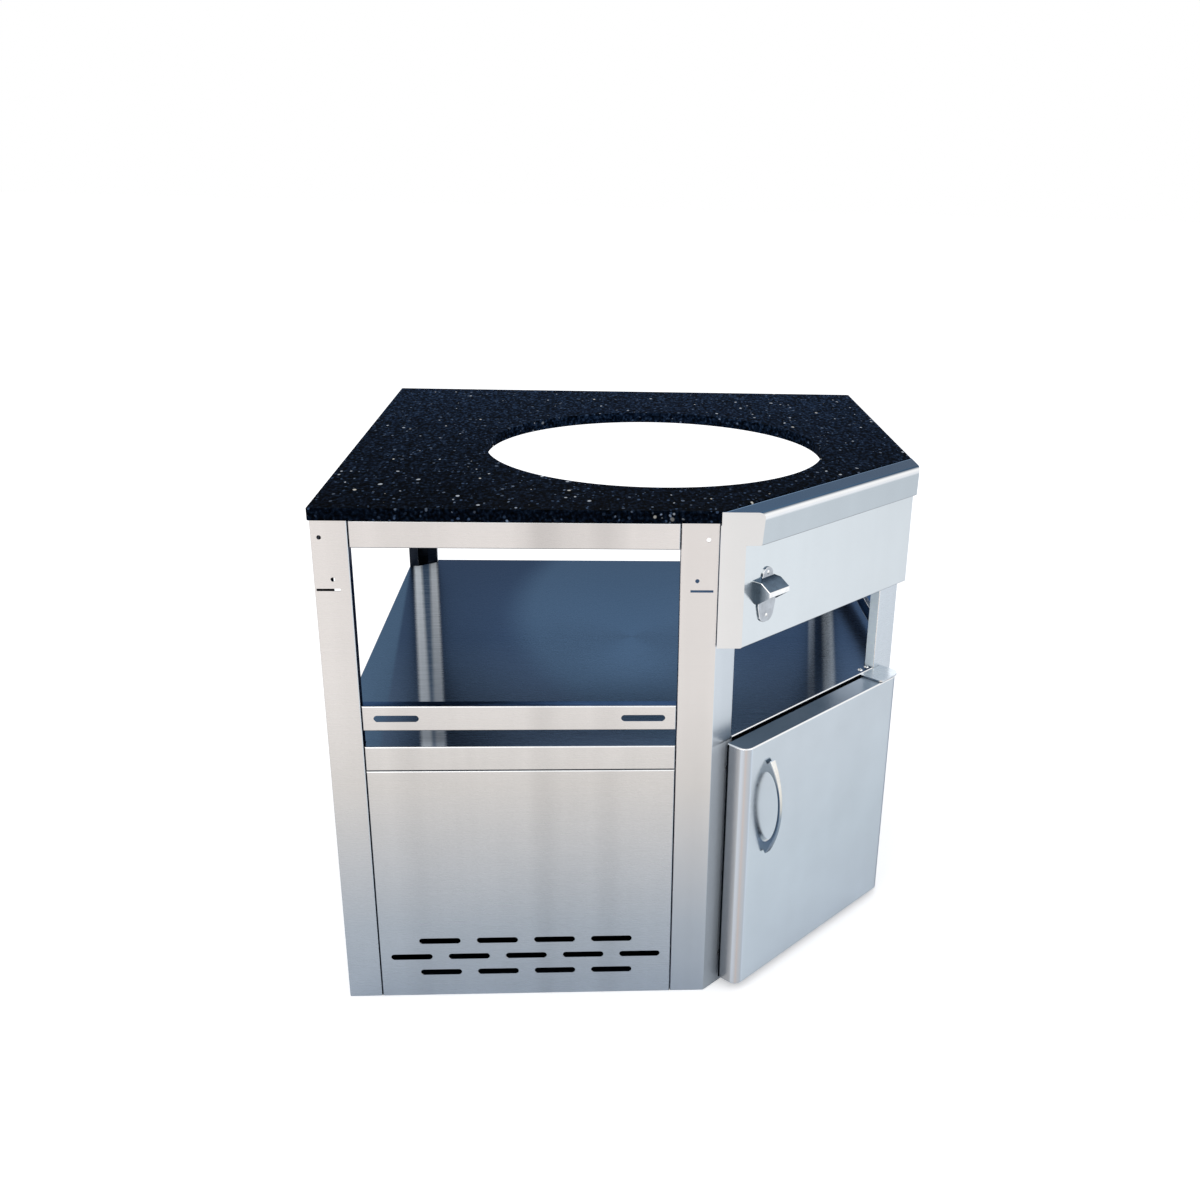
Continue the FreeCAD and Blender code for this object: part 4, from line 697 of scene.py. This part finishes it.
# pale floor, white surroundings, soft lamps
stage = {
    "floorSize": 60.0,
    "floorColour": "#F2F3F5",
    "floorGlow": 0.42,                  # on top of its own shade, for the camera, so that it is as white as the rest
    "mirrorGlow": 0.2,                  # the same for what the steel mirrors
    "surroundings": "#FFFFFF",
    "strength": 0.82,                   # what lights the object; the camera and mirrors see 1
}
lampAim = (0, 0, 0.5)
lamps = [
    {"name": "keyLamp", "place": (-2.2, -3.2, 3.4), "size": 2.6, "power": 26.0, "colour": "#FFF8F0"},
    {"name": "fillLamp", "place": (3.6, -2.2, 2.6), "size": 3.0, "power": 16.0, "colour": "#F2F7FF"},
    {"name": "backLamp", "place": (0.5, 3.6, 3.2), "size": 2.6, "power": 12.0, "colour": "#F4F8FF"},
]


def makeStage():
    bpy.ops.object.select_all(action="DESELECT")
    bpy.ops.mesh.primitive_plane_add(size=stage["floorSize"], location=(0, 0, -0.0005))
    floor = bpy.context.object
    floor.name = "floor"
    material, tree, shader, place = newMaterial("paleFloor")
    shader.inputs["Base Color"].default_value = hexToLinear(stage["floorColour"])
    shader.inputs["Roughness"].default_value = 0.9
    shader.inputs["Specular IOR Level"].default_value = 0.0
    shader.inputs["Emission Color"].default_value = (1, 1, 1, 1)
    path = addNode(tree, "LightPath")
    mirror = addNode(tree, "Math", {"operation": "MAXIMUM"},
                     {0: path.outputs["Is Glossy Ray"], 1: path.outputs["Is Transmission Ray"]}).outputs[0]
    glow = addNode(tree, "Math", {"operation": "MULTIPLY", 1: stage["mirrorGlow"]}, {0: mirror}).outputs[0]
    glow = addNode(tree, "Math", {"operation": "MULTIPLY_ADD", 1: stage["floorGlow"]},
                   {0: path.outputs["Is Camera Ray"], 2: glow})
    tree.links.new(glow.outputs[0], shader.inputs["Emission Strength"])
    floor.data.materials.append(material)
    world = bpy.data.worlds.new("paleSurroundings")
    world.use_nodes = True
    bpy.context.scene.world = world
    tree = world.node_tree
    background = tree.nodes["Background"]
    background.inputs["Color"].default_value = hexToLinear(stage["surroundings"])
    seen = addNode(tree, "LightPath").outputs
    mirror = addNode(tree, "Math", {"operation": "MAXIMUM"},
                     {0: seen["Is Glossy Ray"], 1: seen["Is Transmission Ray"]})
    direct = addNode(tree, "Math", {"operation": "MAXIMUM"}, {0: seen["Is Camera Ray"], 1: mirror.outputs[0]})
    strength = addNode(tree, "MapRange", {"To Min": stage["strength"], "To Max": 1.0}, {0: direct.outputs[0]})
    tree.links.new(strength.outputs[0], background.inputs["Strength"])


def makeLamp(facts):
    bpy.ops.object.light_add(type="AREA", location=facts["place"])
    lamp = bpy.context.object
    lamp.name = facts["name"]
    lamp.data.size = facts["size"]
    lamp.data.energy = facts["power"]
    lamp.data.color = hexToLinear(facts["colour"])[:3]
    aim = Vector(lampAim) - lamp.location
    lamp.rotation_euler = aim.to_track_quat("-Z", "Y").to_euler()


# the photograph's own view: 22 degrees down on the vented side
camera = {
    "place": (-0.06781, -2.41666, 1.42525),
    "turn": (68.0838, -1.5493, -3.7886),
    "lens": 37.9675, "sensor": 36.0,
    "shift": (-0.0742, 0.04682),
}


def makeCamera():
    bpy.ops.object.camera_add(location=camera["place"])
    view = bpy.context.object
    view.rotation_euler = [math.radians(angle) for angle in camera["turn"]]
    view.data.sensor_width = camera["sensor"]
    view.data.lens = camera["lens"]
    view.data.shift_x, view.data.shift_y = camera["shift"]
    bpy.context.scene.camera = view


makeStage()
for facts in lamps:
    makeLamp(facts)
makeCamera()
bpy.context.scene.view_settings.view_transform = "Standard"
print("stage, lamps and camera ready")
